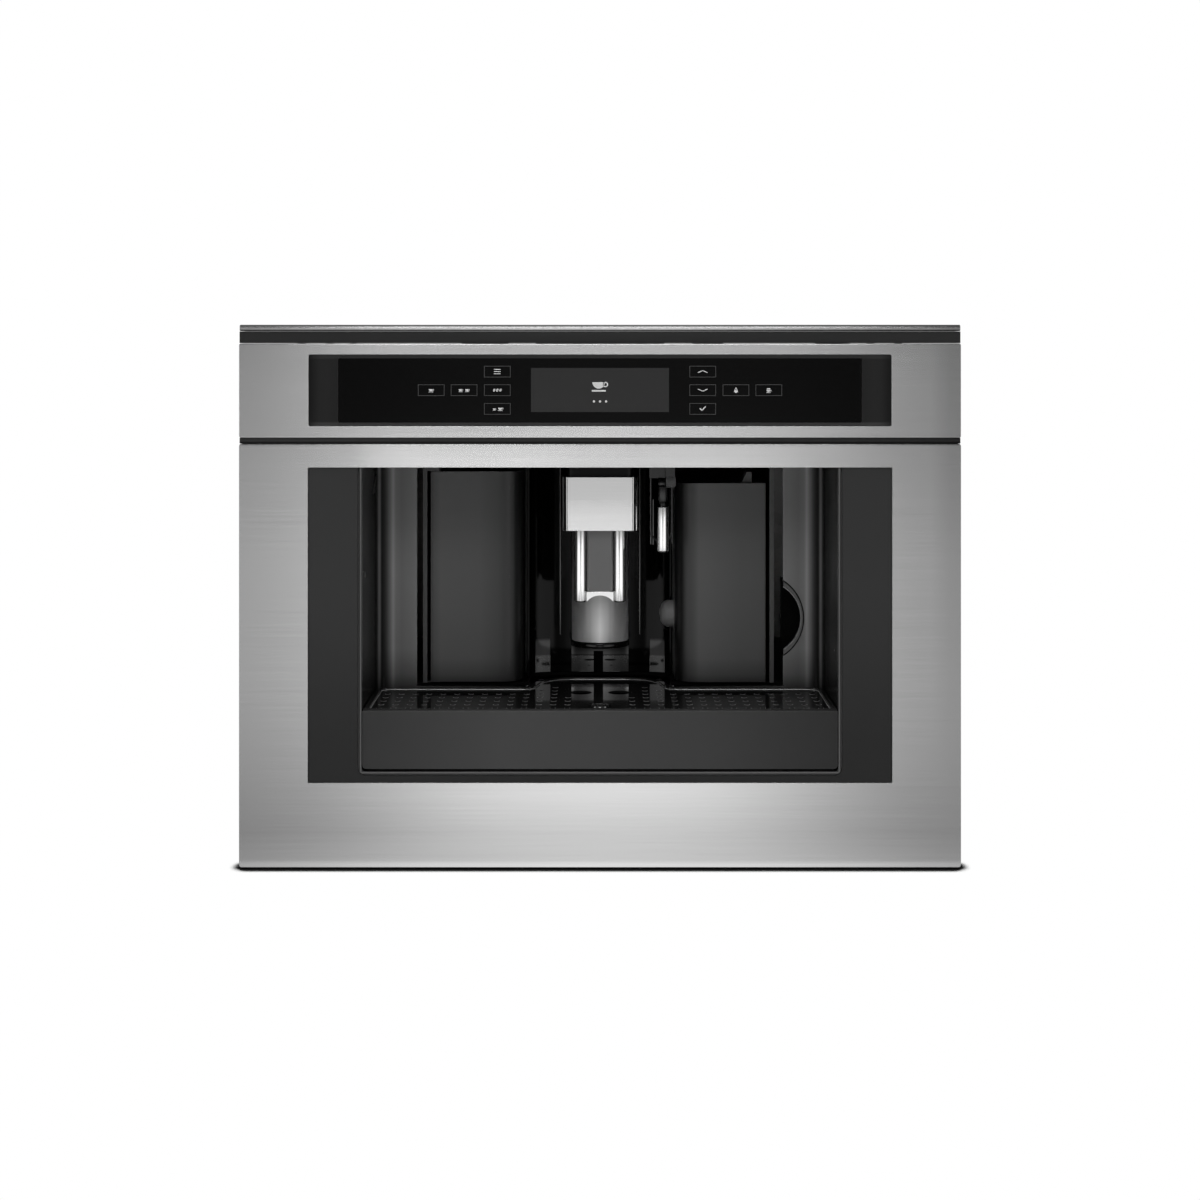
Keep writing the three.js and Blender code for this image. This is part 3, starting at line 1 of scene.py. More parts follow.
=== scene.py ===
# %% [markdown]
# # A built-in coffee machine
# The solids come from the part's own CAD model, already in place and in metres. This lesson gives each of
# them the finish of the real machine and adds the fine pieces that a solid model leaves out. The front faces
# -Y, and "depth" below is the distance behind the plane of the front.

# %% Load the frame
import math

import bpy
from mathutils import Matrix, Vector


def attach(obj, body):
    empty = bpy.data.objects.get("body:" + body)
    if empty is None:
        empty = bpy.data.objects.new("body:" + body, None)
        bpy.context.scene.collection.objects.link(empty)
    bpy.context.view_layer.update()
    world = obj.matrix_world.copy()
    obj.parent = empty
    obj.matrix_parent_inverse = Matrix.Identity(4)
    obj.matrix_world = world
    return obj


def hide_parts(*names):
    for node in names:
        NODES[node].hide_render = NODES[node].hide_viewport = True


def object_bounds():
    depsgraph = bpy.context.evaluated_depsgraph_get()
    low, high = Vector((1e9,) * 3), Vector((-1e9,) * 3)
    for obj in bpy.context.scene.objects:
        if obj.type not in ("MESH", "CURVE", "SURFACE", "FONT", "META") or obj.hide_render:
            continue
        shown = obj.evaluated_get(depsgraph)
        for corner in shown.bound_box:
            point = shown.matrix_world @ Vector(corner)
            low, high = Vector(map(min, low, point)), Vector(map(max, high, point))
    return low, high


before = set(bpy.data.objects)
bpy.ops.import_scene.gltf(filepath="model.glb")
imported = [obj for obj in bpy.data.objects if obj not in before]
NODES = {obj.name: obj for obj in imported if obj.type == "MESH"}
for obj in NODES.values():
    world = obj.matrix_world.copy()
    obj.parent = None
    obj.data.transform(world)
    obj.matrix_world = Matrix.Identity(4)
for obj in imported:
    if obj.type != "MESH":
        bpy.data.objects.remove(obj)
cad_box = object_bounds()
MM = 0.001
FRONT_Y = cad_box[0].y
print("CAD box", [tuple(round(v, 4) for v in corner) for corner in cad_box])

# %% [markdown]
# ## Camera
# The photograph was taken straight on, with the lens near the height of the gap between the two steel panels
# and the picture shifted, so every upright stays upright. A shifted lens gives the same view in Blender.

# %% Camera
CAMERA_DISTANCE = 1.6
CAMERA_HEIGHT = 0.4278
PICTURE_WIDTH = 0.9888
PICTURE_CENTRE = 0.2218
SENSOR = 36.0

camera_data = bpy.data.cameras.new("camera")
camera_data.sensor_width = SENSOR
camera_data.lens = SENSOR * CAMERA_DISTANCE / PICTURE_WIDTH
camera_data.shift_y = (PICTURE_CENTRE - CAMERA_HEIGHT) / PICTURE_WIDTH
camera = bpy.data.objects.new("camera", camera_data)
camera.location = (0.0, FRONT_Y - CAMERA_DISTANCE, CAMERA_HEIGHT)
camera.rotation_euler = (math.radians(90), 0, 0)
bpy.context.scene.collection.objects.link(camera)
bpy.context.scene.camera = camera
bpy.context.scene.view_settings.view_transform = "Standard"
print("lens", round(camera_data.lens, 2), "shift", round(camera_data.shift_y, 4))

# %% [markdown]
# ## Small helpers
# Every operator acts on what is selected, so a helper leaves edit mode and clears the selection first. Others
# start a material and add nodes to it. The last ones shade by place: a ramp turns a coordinate into a level.

# %% Helpers
def select_nothing():
    if bpy.context.mode != "OBJECT":
        bpy.ops.object.mode_set(mode="OBJECT")
    for item in bpy.context.selected_objects:
        item.select_set(False)


def select_only(item):
    select_nothing()
    item.select_set(True)
    bpy.context.view_layer.objects.active = item


def light_of(level):
    """The share of light that a surface returns when it shows as this level, 0 to 255, on a screen."""
    v = level / 255
    return v / 12.92 if v <= 0.04045 else ((v + 0.055) / 1.055) ** 2.4


def grey(level):
    return (light_of(level),) * 3


def lit(stops):
    """Stops of (millimetres, screen level) as (millimetres, share of light)."""
    return [(spot, light_of(level)) for spot, level in stops]


def start_material(name, color, roughness, metallic=0.0, specular=0.5):
    material = bpy.data.materials.new(name)
    material.use_nodes = True
    tree = material.node_tree
    shader = tree.nodes["Principled BSDF"]
    shader.inputs["Base Color"].default_value = (*color, 1)
    shader.inputs["Roughness"].default_value = roughness
    shader.inputs["Metallic"].default_value = metallic
    shader.inputs["Specular IOR Level"].default_value = specular
    return material, tree, shader


def reopen(material):
    return material.node_tree, material.node_tree.nodes["Principled BSDF"]


def add_node(tree, kind, inputs=None):
    """A shader node. Each input, by name or number, is set to a value or linked to another node's output."""
    node = tree.nodes.new("ShaderNode" + kind)
    for label, value in (inputs or {}).items():
        if isinstance(value, bpy.types.NodeSocket):
            tree.links.new(value, node.inputs[label])
        else:
            node.inputs[label].default_value = value
    return node


def math_node(tree, operation, *values):
    node = add_node(tree, "Math", dict(enumerate(values)))
    node.operation = operation
    return node.outputs[0]


def mix_shaders(tree, share, first, second):
    return add_node(tree, "MixShader", {0: share, 1: first, 2: second}).outputs[0]


def ramp_node(tree, value, stops, interpolation="EASE"):
    """A ramp of greys from (position, level) stops."""
    node = add_node(tree, "ValToRGB", {"Fac": value})
    node.color_ramp.interpolation = interpolation
    while len(node.color_ramp.elements) < len(stops):
        node.color_ramp.elements.new(0.5)
    for element, (position, level) in zip(node.color_ramp.elements, stops):
        element.position = position
        element.color = (level, level, level, 1)
    return node.outputs["Color"]


def metre_ramp(tree, value, stops, interpolation="LINEAR"):
    """A ramp over a value in metres, from (millimetres, level) stops."""
    first, last = stops[0][0], stops[-1][0]
    share = math_node(tree, "DIVIDE", math_node(tree, "SUBTRACT", value, first * MM), (last - first) * MM)
    scaled = [((spot - first) / (last - first), level) for spot, level in stops]
    return ramp_node(tree, share, scaled, interpolation)


def coordinate(tree, axis):
    """Object coordinate X, Y or Z, or SIDE, the distance from the middle plane."""
    place = add_node(tree, "TexCoord").outputs["Object"]
    split = add_node(tree, "SeparateXYZ", {0: place}).outputs
    if axis == "SIDE":
        return math_node(tree, "ABSOLUTE", split["X"])
    return split[axis]


def place_ramp(tree, axis, stops, interpolation="LINEAR"):
    return metre_ramp(tree, coordinate(tree, axis), stops, interpolation)

# %% [markdown]
# ## Floor
# The photograph shows plain white with a thin dark line where the machine stands. So the floor glows white to
# the camera, and where little light gets in below something, the glow gives way to a dark contact shadow.
# Mirrors look through the floor, so that only the world decides what steel reflects.

# %% Floor
FLOOR_SIZE = 14
FLOOR_DROP = 0.5 * MM
CONTACT_REACH = 12 * MM
CONTACT_SAMPLES = 24
GLOW_STOPS = [(0.0, 0.0), (0.66, 0.0), (0.76, 0.08), (0.85, 0.46), (0.92, 0.88), (0.97, 1.0)]
GROUND_STOPS = [(0.0, 0.004), (0.68, 0.01), (0.84, 0.4), (0.95, 0.9)]

bpy.ops.mesh.primitive_plane_add(size=FLOOR_SIZE, location=(0, 0, -FLOOR_DROP))
floor = bpy.context.object
floor.name = "studio_floor"
material, tree, shader = start_material("studio_floor", (0.9, 0.9, 0.9), 0.9, specular=0.0)
contact = add_node(tree, "AmbientOcclusion", {"Distance": CONTACT_REACH})
contact.samples = CONTACT_SAMPLES
openness = contact.outputs["AO"]
tree.links.new(ramp_node(tree, openness, GROUND_STOPS), shader.inputs["Base Color"])
ray = add_node(tree, "LightPath").outputs
glow = add_node(tree, "Emission", {"Strength": 1.0}).outputs[0]
clear = add_node(tree, "BsdfTransparent").outputs[0]
share = math_node(tree, "MULTIPLY", ramp_node(tree, openness, GLOW_STOPS), ray["Is Camera Ray"])
shown = mix_shaders(tree, share, shader.outputs[0], glow)
surface = mix_shaders(tree, ray["Is Glossy Ray"], shown, clear)
tree.links.new(surface, tree.nodes["Material Output"].inputs["Surface"])
floor.data.materials.append(material)
print("floor of", floor.dimensions[0], "m")

# %% [markdown]
# ## World
# The camera sees plain white. Mirrors see a studio: a tall bright screen behind the camera, which gives
# brushed steel its bright middle and darker ends, and a low strip light on each side, which draws a thin line
# along every rounded upright edge. Everything else gets an even dim fill. The stops across run from straight
# ahead to straight sideways, and those of height from straight down to straight up.

# %% World
FILL_LEVEL = 0.34
SCREEN_GAIN = 1.15
SCREEN_ACROSS = [
    (0.0, 1.0), (0.045, 0.93), (0.16, 0.375), (0.20, 0.28), (0.30, 0.34), (0.60, 0.45), (0.95, 0.4)
]
SCREEN_HEIGHT = [
    (0.0, 1.2), (0.30, 1.05), (0.385, 1.3), (0.45, 0.95), (0.5, 0.42), (0.56, 0.34), (0.8, 0.5), (1.0, 0.7)
]
STRIP_ACROSS = [(0.23, 0.0), (0.30, 1.35), (0.62, 1.45), (0.80, 0.5), (0.93, 0.3)]
STRIP_HEIGHT = [(0.36, 0.0), (0.40, 1.0), (0.49, 1.0), (0.53, 0.25), (0.6, 0.0)]

world = bpy.data.worlds.new("studio")
bpy.context.scene.world = world
world.use_nodes = True
tree = world.node_tree
fill = tree.nodes["Background"]
fill.inputs["Color"].default_value = (1, 1, 1, 1)
fill.inputs["Strength"].default_value = FILL_LEVEL
white = add_node(tree, "Background", {"Color": (1, 1, 1, 1)})
direction = add_node(tree, "TexCoord").outputs["Generated"]
split = add_node(tree, "SeparateXYZ", {0: direction}).outputs
sideways = math_node(tree, "ABSOLUTE", split["X"])
upwards = math_node(tree, "MULTIPLY_ADD", split["Z"], 0.5, 0.5)
screen = math_node(tree, "MULTIPLY", ramp_node(tree, sideways, SCREEN_ACROSS),
                   ramp_node(tree, upwards, SCREEN_HEIGHT))
strips = math_node(tree, "MULTIPLY", ramp_node(tree, sideways, STRIP_ACROSS),
                   ramp_node(tree, upwards, STRIP_HEIGHT))
gained = math_node(tree, "MULTIPLY_ADD", screen, SCREEN_GAIN, strips)
studio = add_node(tree, "Background", {"Strength": gained})
ray = add_node(tree, "LightPath").outputs
unseen = mix_shaders(tree, ray["Is Glossy Ray"], fill.outputs[0], studio.outputs[0])
surface = mix_shaders(tree, ray["Is Camera Ray"], unseen, white.outputs[0])
tree.links.new(surface, tree.nodes["World Output"].inputs["Surface"])
print("world ready")

# %% [markdown]
# ## Lamps
# A large soft box overhead does most of the work, with a weak one in front to reach into the niche and one at
# each side. Mirrors don't see the one overhead, which would burn out the top of the steel.

# %% Lamps
def soft_lamp(name, place, aim, width, height, power, mirrored=True):
    data = bpy.data.lights.new(name, "AREA")
    data.shape = "RECTANGLE"
    data.size = width
    data.size_y = height
    data.energy = power
    lamp = bpy.data.objects.new(name, data)
    lamp.location = place
    lamp.rotation_euler = (Vector(aim) - Vector(place)).to_track_quat("-Z", "Y").to_euler()
    lamp.visible_glossy = mirrored
    bpy.context.scene.collection.objects.link(lamp)


soft_lamp("top_box", (0.0, -0.7, 2.3), (0, -0.1, 0.2), 2.0, 1.6, 44, mirrored=False)
soft_lamp("front_box", (0.0, -2.7, 1.9), (0, 0, 0.2), 1.2, 0.9, 16)
soft_lamp("left_box", (-2.2, -0.9, 1.2), (0, 0, 0.2), 0.8, 1.4, 8)
soft_lamp("right_box", (2.2, -0.9, 1.2), (0, 0, 0.2), 0.8, 1.4, 8)
print(len(bpy.data.lights), "lamps")

# %% [markdown]
# ## Shared surface effects
# Five groups do most of the surface work: brushed grain, in long thin streaks; moulded grain, fine and even,
# with slow changes of gloss; spangle, the crystals of galvanised sheet; an edge mask, to paint paler edges
# as painted highlights, and on the casing also as wear; and a patch mask, 1 inside a rectangle of the front.
# They read Object coordinates, so patterns stay in place.

# %% Node groups
FINE_STREAKS = (14, 900, 3200)
BROAD_STREAKS = (3, 150, 380)
STREAK_MIDDLE = 0.75
CLOUD_SCALE = 14.0
CRYSTAL_SCALE = 85.0


def start_group(name, inputs, outputs):
    group = bpy.data.node_groups.new(name, "ShaderNodeTree")
    for label, value in inputs:
        socket = group.interface.new_socket(name=label, in_out="INPUT", socket_type="NodeSocketFloat")
        socket.default_value = value
    for label in outputs:
        group.interface.new_socket(name=label, in_out="OUTPUT", socket_type="NodeSocketFloat")
    return group, group.nodes.new("NodeGroupInput").outputs, group.nodes.new("NodeGroupOutput").inputs


def noise(group, vector, scale, detail):
    return add_node(group, "TexNoise", {"Vector": vector, "Scale": scale, "Detail": detail}).outputs["Fac"]


def object_vector(group, scale=None):
    """Object coordinates, stretched where a scale for each axis is given."""
    place = add_node(group, "TexCoord").outputs["Object"]
    if scale is None:
        return place
    return add_node(group, "Mapping", {"Vector": place, "Scale": scale}).outputs["Vector"]


def drift(group, start, value, middle):
    """Roughness that moves about its base with a value, which has this middle."""
    centred = math_node(group, "SUBTRACT", value, middle)
    return math_node(group, "MULTIPLY_ADD", centred, start["Spread"], start["Base"])


def brushed_grain():
    group, start, end = start_group("brushed_grain", [("Base", 0.3), ("Spread", 0.1)],
                                    ["Height", "Roughness", "Streak"])
    fine = noise(group, object_vector(group, FINE_STREAKS), 1.0, 3.0)
    broad = noise(group, object_vector(group, BROAD_STREAKS), 1.0, 2.0)
    height = math_node(group, "MULTIPLY_ADD", broad, 0.5, fine)
    centred = math_node(group, "SUBTRACT", height, STREAK_MIDDLE)
    group.links.new(height, end["Height"])
    group.links.new(drift(group, start, height, STREAK_MIDDLE), end["Roughness"])
    group.links.new(math_node(group, "MULTIPLY_ADD", centred, 0.9, 0.5), end["Streak"])
    return group


def moulded_grain():
    group, start, end = start_group("moulded_grain", [("Grain", 1500.0), ("Base", 0.45), ("Spread", 0.08)],
                                    ["Height", "Roughness", "Cloud"])
    place = object_vector(group)
    cloud = noise(group, place, CLOUD_SCALE, 4.0)
    group.links.new(noise(group, place, start["Grain"], 2.0), end["Height"])
    group.links.new(drift(group, start, cloud, 0.5), end["Roughness"])
    group.links.new(cloud, end["Cloud"])
    return group


def patch_mask():
    sizes = [("Middle", 0.0), ("Half", 0.05), ("Low", 0.0), ("High", 0.1), ("Soft", 0.0004)]
    group, start, end = start_group("patch_mask", sizes, ["Mask"])
    offset = math_node(group, "SUBTRACT", coordinate(group, "X"), start["Middle"])
    height = coordinate(group, "Z")
    reach = math_node(group, "SUBTRACT", start["Half"], math_node(group, "ABSOLUTE", offset))
    above = math_node(group, "SUBTRACT", height, start["Low"])
    below = math_node(group, "SUBTRACT", start["High"], height)
    inside = math_node(group, "MINIMUM", reach, math_node(group, "MINIMUM", above, below))
    soft = math_node(group, "DIVIDE", inside, start["Soft"])
    clamped = math_node(group, "MINIMUM", math_node(group, "MAXIMUM", soft, 0.0), 1.0)
    group.links.new(clamped, end["Mask"])
    return group


def spangle():
    group, start, end = start_group("spangle", [("Base", 0.38), ("Spread", 0.15)], ["Shade", "Roughness"])
    place = object_vector(group)
    cells = add_node(group, "TexVoronoi", {"Vector": place, "Scale": CRYSTAL_SCALE})
    chance = add_node(group, "SeparateXYZ", {0: cells.outputs["Color"]}).outputs
    cloud = math_node(group, "MULTIPLY", noise(group, place, 6.0, 4.0), 0.45)
    group.links.new(math_node(group, "MULTIPLY_ADD", chance["X"], 0.55, cloud), end["Shade"])
    group.links.new(drift(group, start, chance["Y"], 0.5), end["Roughness"])
    return group


def edge_mask():
    """1 on convex and concave edges, 0 on flat faces: how far the rounded normal leans off the true one."""
    group, start, end = start_group("edge_mask", [("Radius", 0.0008), ("Gain", 6.0)], ["Mask"])
    rounded = add_node(group, "Bevel", {"Radius": start["Radius"]})
    rounded.samples = 4
    surface = add_node(group, "NewGeometry")
    product = add_node(group, "VectorMath", {0: rounded.outputs["Normal"], 1: surface.outputs["Normal"]})
    product.operation = "DOT_PRODUCT"
    lean = math_node(group, "SUBTRACT", 1.0, product.outputs["Value"])
    gained = math_node(group, "MULTIPLY", lean, start["Gain"])
    group.links.new(math_node(group, "MINIMUM", gained, 1.0), end["Mask"])
    return group


BRUSHED_GRAIN = brushed_grain()
MOULDED_GRAIN = moulded_grain()
SPANGLE = spangle()
EDGE_MASK = edge_mask()
PATCH_MASK = patch_mask()
print("groups:", [group.name for group in bpy.data.node_groups])

# %% [markdown]
# A material takes a group as one node with its own values. Most take the moulded grain, for their roughness
# and for a very shallow bump, so one helper does both.

# %% Use of the groups
def place_group(tree, group, **values):
    node = tree.nodes.new("ShaderNodeGroup")
    node.node_tree = group
    for label, value in values.items():
        node.inputs[label].default_value = value
    return node.outputs


def add_bump(tree, shader, height, depth, strength):
    """A bump from a height of 0 to 1, this many millimetres deep."""
    bump = add_node(tree, "Bump", {"Strength": strength, "Distance": depth * MM, "Height": height})
    tree.links.new(bump.outputs["Normal"], shader.inputs["Normal"])


def add_grain(tree, shader, grain, roughness, spread, depth=0.0, strength=0.25):
    """The moulded grain on a shader, with a bump where a depth is given. Returns its slow cloud."""
    texture = place_group(tree, MOULDED_GRAIN, Grain=grain, Base=roughness, Spread=spread)
    tree.links.new(texture["Roughness"], shader.inputs["Roughness"])
    if depth:
        add_bump(tree, shader, texture["Height"], depth, strength)
    return texture["Cloud"]


def paint(tree, shader, value):
    tree.links.new(value, shader.inputs["Base Color"])


def vary_color(tree, shader, factor, low, high):
    """Base colour between two screen levels, by a factor that changes over the surface."""
    blend = tree.nodes.new("ShaderNodeMix")
    blend.data_type = "RGBA"
    blend.inputs[6].default_value = (*grey(low), 1)
    blend.inputs[7].default_value = (*grey(high), 1)
    tree.links.new(factor, blend.inputs[0])
    paint(tree, shader, blend.outputs[2])

# %% [markdown]
# ## Brushed steel
# The front is stainless steel brushed level. Fine scratches spread a highlight across the grain and hardly
# along it, so the shader is anisotropic with its tangent upright. The room's light also changes slowly over
# each panel and drops at the folds beside the dark strips. The steel's colour carries that: a level by height
# for the middle and for the sides, a fall to the upper right, and a change along the narrow lower strip.

# %% Brushed steel
MIDDLE_LIGHT = [
    (0, 1.0), (4, 1.0), (8, 0.9), (30, 0.93), (62, 1.13), (110, 1.15), (320, 1.18), (348.8, 1.0),
    (349.8, 0.7), (350.5, 0.15), (350.8, 0.02), (355.3, 0.02), (355.5, 0.3), (356.0, 0.94), (362, 0.88),
    (400, 0.76), (440, 0.66), (443, 0.02), (444.3, 0.02), (444.9, 0.75), (445.9, 1.05), (446.7, 0.38),
    (447.5, 0.28), (449, 0.3)
]
SIDE_LIGHT = [
    (0, 1.4), (4, 1.28), (8, 0.98), (30, 0.85), (57, 0.95), (106, 1.13), (156, 1.29), (255, 1.38),
    (304, 1.28), (348.8, 1.2), (349.8, 0.9), (350.5, 0.3), (350.8, 0.02), (355.3, 0.02), (355.5, 0.4),
    (356.0, 1.2), (403, 1.15), (440, 1.06), (443, 0.04), (444.3, 0.04), (444.9, 1.1), (445.9, 1.07),
    (446.7, 0.62), (447.5, 0.5), (449, 0.42)
]
SIDE_SHARE = [(60, 0.0), (260, 1.0)]
RIGHT_FALL = [(30, 0.0), (82, 0.03), (132, 0.12), (181, 0.2), (231, 0.22), (272, 0.19), (290, 0.31)]
UPPER_SHARE = [(40, 0.0), (156, 0.55), (255, 0.8), (349, 1.0)]
STRIP_GLOW = [
    (-205, 1.0), (-184, 1.16), (-165, 1.2), (-115, 1.08), (-66, 1.03), (-16, 0.91), (33, 0.87), (82, 0.94),
    (130, 1.0)
]
STRIP_SHARE = [(330, 0.0), (332, 1.0), (351, 1.0), (354, 0.0)]
STREAK_SHARE = 0.14


def room_light(tree):
    """The level of the room's light at each place of the front."""
    share = place_ramp(tree, "SIDE", SIDE_SHARE, "EASE")
    middle = place_ramp(tree, "Z", MIDDLE_LIGHT)
    blend = add_node(tree, "Mix", {0: share, 2: middle, 3: place_ramp(tree, "Z", SIDE_LIGHT)})
    fall = math_node(tree, "MULTIPLY", place_ramp(tree, "X", RIGHT_FALL), place_ramp(tree, "Z", UPPER_SHARE))
    glow = math_node(tree, "SUBTRACT", place_ramp(tree, "X", STRIP_GLOW), 1.0)
    lift = math_node(tree, "MULTIPLY", glow, place_ramp(tree, "Z", STRIP_SHARE))
    lean = math_node(tree, "ADD", math_node(tree, "SUBTRACT", 1.0, fall), lift)
    return math_node(tree, "MULTIPLY", blend.outputs[0], lean)


def brushed_steel(name, level, roughness, anisotropic):
    material, tree, shader = start_material(name, grey(level), roughness, 1.0)
    grain = place_group(tree, BRUSHED_GRAIN, Base=roughness, Spread=0.04)
    tree.links.new(grain["Roughness"], shader.inputs["Roughness"])
    add_bump(tree, shader, grain["Height"], depth=0.004, strength=0.012)
    darkest = light_of(level) - STREAK_SHARE / 2
    streak = math_node(tree, "MULTIPLY_ADD", grain["Streak"], STREAK_SHARE, darkest)
    paint(tree, shader, math_node(tree, "MULTIPLY", streak, room_light(tree)))
    shader.inputs["Anisotropic"].default_value = anisotropic
    tangent = add_node(tree, "Tangent")
    tangent.direction_type = "RADIAL"
    tangent.axis = "X"
    tree.links.new(tangent.outputs[0], shader.inputs["Tangent"])
    return material


STEEL = brushed_steel("brushed_steel", 222, 0.26, 0.92)
print("brushed steel with", len(STEEL.node_tree.nodes), "nodes")

# %% [markdown]
# ## Other metals
# Polished and cast parts are smooth metal with a faint cloud. The casing is galvanised sheet: crystals of
# slightly different grey and gloss, with edges painted paler, as wear and as painted highlights. The column
# in the recess is satin metal with painted light and shade: lighter towards its foot, near black at its top
# under the head, and in bands across its round. The polished plate behind it has a painted reflection,
# bright on its lower half and near black above.

# %% Other metals
# painted reflection: the plate's level by height
PLATE_REFLECTION_BY_HEIGHT = [(135, 0.5), (149.6, 0.5), (150.2, 0.05), (163, 0.05)]
# painted light and shade: the column's level by height and across its round
COLUMN_SHADE_BY_HEIGHT = [
    (163, 1.0), (180, 1.0), (188, 0.9), (197, 0.74), (205, 0.52), (240, 0.37), (300, 0.24), (313, 0.01)
]
COLUMN_SHADE_ACROSS = [(0, 1.0), (4.5, 0.78), (9, 0.57), (13.5, 0.80), (18, 1.15), (25, 1.2)]
CLOUD_LEVELS = 8
ZINC_DARKEST = 0.38
ZINC_SPAN = 0.16
WEAR_AND_SHEEN_GAIN = 0.2


def smooth_metal(name, level, roughness, grain, spread=0.08):
    material, tree, shader = start_material(name, grey(level), roughness, 1.0)
    cloud = add_grain(tree, shader, grain, roughness, spread, 0.01, 0.1)
    vary_color(tree, shader, cloud, level - CLOUD_LEVELS, level + CLOUD_LEVELS)
    return material


def galvanised_sheet(name, roughness, metallic):
    material, tree, shader = start_material(name, grey(180), roughness, metallic)
    texture = place_group(tree, SPANGLE, Base=roughness, Spread=0.16)
    tree.links.new(texture["Roughness"], shader.inputs["Roughness"])
    # painted paler edges, as wear and as highlights
    edge_wear_and_sheen = place_group(tree, EDGE_MASK, Radius=0.0012, Gain=4.0)
    shade = math_node(tree, "MULTIPLY_ADD", texture["Shade"], ZINC_SPAN, ZINC_DARKEST)
    paint(tree, shader, math_node(tree, "MULTIPLY_ADD", edge_wear_and_sheen["Mask"], WEAR_AND_SHEEN_GAIN, shade))
    add_bump(tree, shader, texture["Shade"], depth=0.02, strength=0.2)
    return material


POLISHED = smooth_metal("polished_steel", 246, 0.10, 300.0, 0.04)
ZINC = galvanised_sheet("zinc_sheet", 0.38, 0.7)
CAST = smooth_metal("cast_metal", 186, 0.5, 700.0)
DARK_MIRROR = smooth_metal("dark_mirror", 210, 0.05, 600.0, 0.02)
tree, shader = reopen(DARK_MIRROR)
paint(tree, shader, place_ramp(tree, "Z", PLATE_REFLECTION_BY_HEIGHT))
COLUMN_METAL = smooth_metal("column_metal", 232, 0.42, 1400.0)
tree, shader = reopen(COLUMN_METAL)
shader.inputs["Metallic"].default_value = 0.8
paint(tree, shader, math_node(tree, "MULTIPLY", place_ramp(tree, "Z", COLUMN_SHADE_BY_HEIGHT),
                              place_ramp(tree, "SIDE", COLUMN_SHADE_ACROSS)))
print("polished steel, zinc, cast metal, dark mirror and satin metal")

# %% [markdown]
# ## Plastics
# Most dark parts are plastic, in finishes from matte to piano black. Each has a fine moulded texture, a slow
# change of gloss and painted highlights on its edges, and the blacks return little light, so that the niche
# stays deep; the near-black of the grip, slot, groove and shelf deep in the niche is painted shade. Two pale
# strips low down on the rear of the glossy recess are metal patches set by place: a painted reflection of the
# foot of its own side walls.

# %% Plastics
EDGE_HIGHLIGHT_GAIN = 0.8
CLOUD_DARKEST = 0.88
CLOUD_SPAN = 0.24
GLEAM_GAIN = 0.5
GLEAM_ACROSS = [(45, 0.0), (45.8, 1.0), (58, 1.0), (58.8, 0.0)]
GLEAM_RISE = [(149.6, 1.0), (150.4, 0.22), (163, 0.16), (166, 0.0)]


def plastic(name, level, roughness, grain=1500.0, bump=0.02, specular=0.4, spread=0.08):
    material, tree, shader = start_material(name, grey(level), roughness, specular=specular)
    cloud = add_grain(tree, shader, grain, roughness, spread, bump)
    varied = math_node(tree, "MULTIPLY_ADD", cloud, CLOUD_SPAN, CLOUD_DARKEST)
    # painted highlight: the edges are painted paler
    with_edge_highlights = math_node(tree, "MULTIPLY_ADD", place_group(tree, EDGE_MASK)["Mask"], EDGE_HIGHLIGHT_GAIN, varied)
    paint(tree, shader, math_node(tree, "MULTIPLY", with_edge_highlights, light_of(level)))
    return material


SATIN_GREY = plastic("satin_grey", 66, 0.34, specular=0.35)
MID_GREY = plastic("mid_grey", 106, 0.4)
RIM_GREY = plastic("rim_grey", 16, 0.16, bump=0.01, specular=0.6)
GRIP_RIM = plastic("grip_rim", 58, 0.2, bump=0.01, specular=0.8)
MATTE_BLACK = plastic("matte_black", 30, 0.5, specular=0.2)
BAND_BLACK = plastic("band_black", 31, 0.5, specular=0.2)
# painted shade: near black for the grip, slot, groove and shelf deep in the niche
PIT_SHADE_BLACK = plastic("pit_shade_black", 4, 0.55, 900.0, 0.01, 0.05)
GLOSS_BLACK = plastic("gloss_black", 6, 0.06, 600.0, 0.003, 0.3)
GRATE_BLACK = plastic("grate_black", 20, 0.05, 600.0, 0.003, 1.0, 0.03)
# painted highlight: light grey for the thin highlight lines of the recess rails and guard wires
LINE_HIGHLIGHT_GREY = plastic("line_highlight_grey", 70, 0.2, 600.0, 0.003, 1.0)
# painted highlights: light greys for the grate's bead, the hole lips and the scoop's inner edge
BEAD_HIGHLIGHT_GREY = plastic("bead_highlight_grey", 120, 0.2, 600.0, 0.003, 1.0)
LIP_HIGHLIGHT_GREY = plastic("lip_highlight_grey", 104, 0.3, 600.0, 0.003, 0.6)
SMOKED = plastic("smoked", 62, 0.16, 500.0, 0.004)
RECESS_BLACK = plastic("recess_black", 4, 0.06, 600.0, 0.003, 0.1)
tree, shader = reopen(RECESS_BLACK)
# painted reflection: two pale metal strips low on the recess's rear
gleam = math_node(tree, "MULTIPLY", place_ramp(tree, "SIDE", GLEAM_ACROSS), place_ramp(tree, "Z", GLEAM_RISE))
tree.links.new(gleam, shader.inputs["Metallic"])
paint(tree, shader, math_node(tree, "MULTIPLY_ADD", gleam, GLEAM_GAIN, 0.001))
print("plastics ready")

# %% [markdown]
# ## Shaded mouldings
# Light and shade are painted into these mouldings. Only the flat cheeks of the liner look grey, with a
# painted highlight line where they start to curve; its walls stay almost black. The door and the tank's
# front are painted darker where they turn into the recess, with a lighter boss beyond the tank. All three
# fade towards the foot, where the drip tray cuts off their light. The rim has painted highlight lines;
# the window frame, dark plate, seam strip and tray front have painted sheen and shade across them, the first
# three also by height.

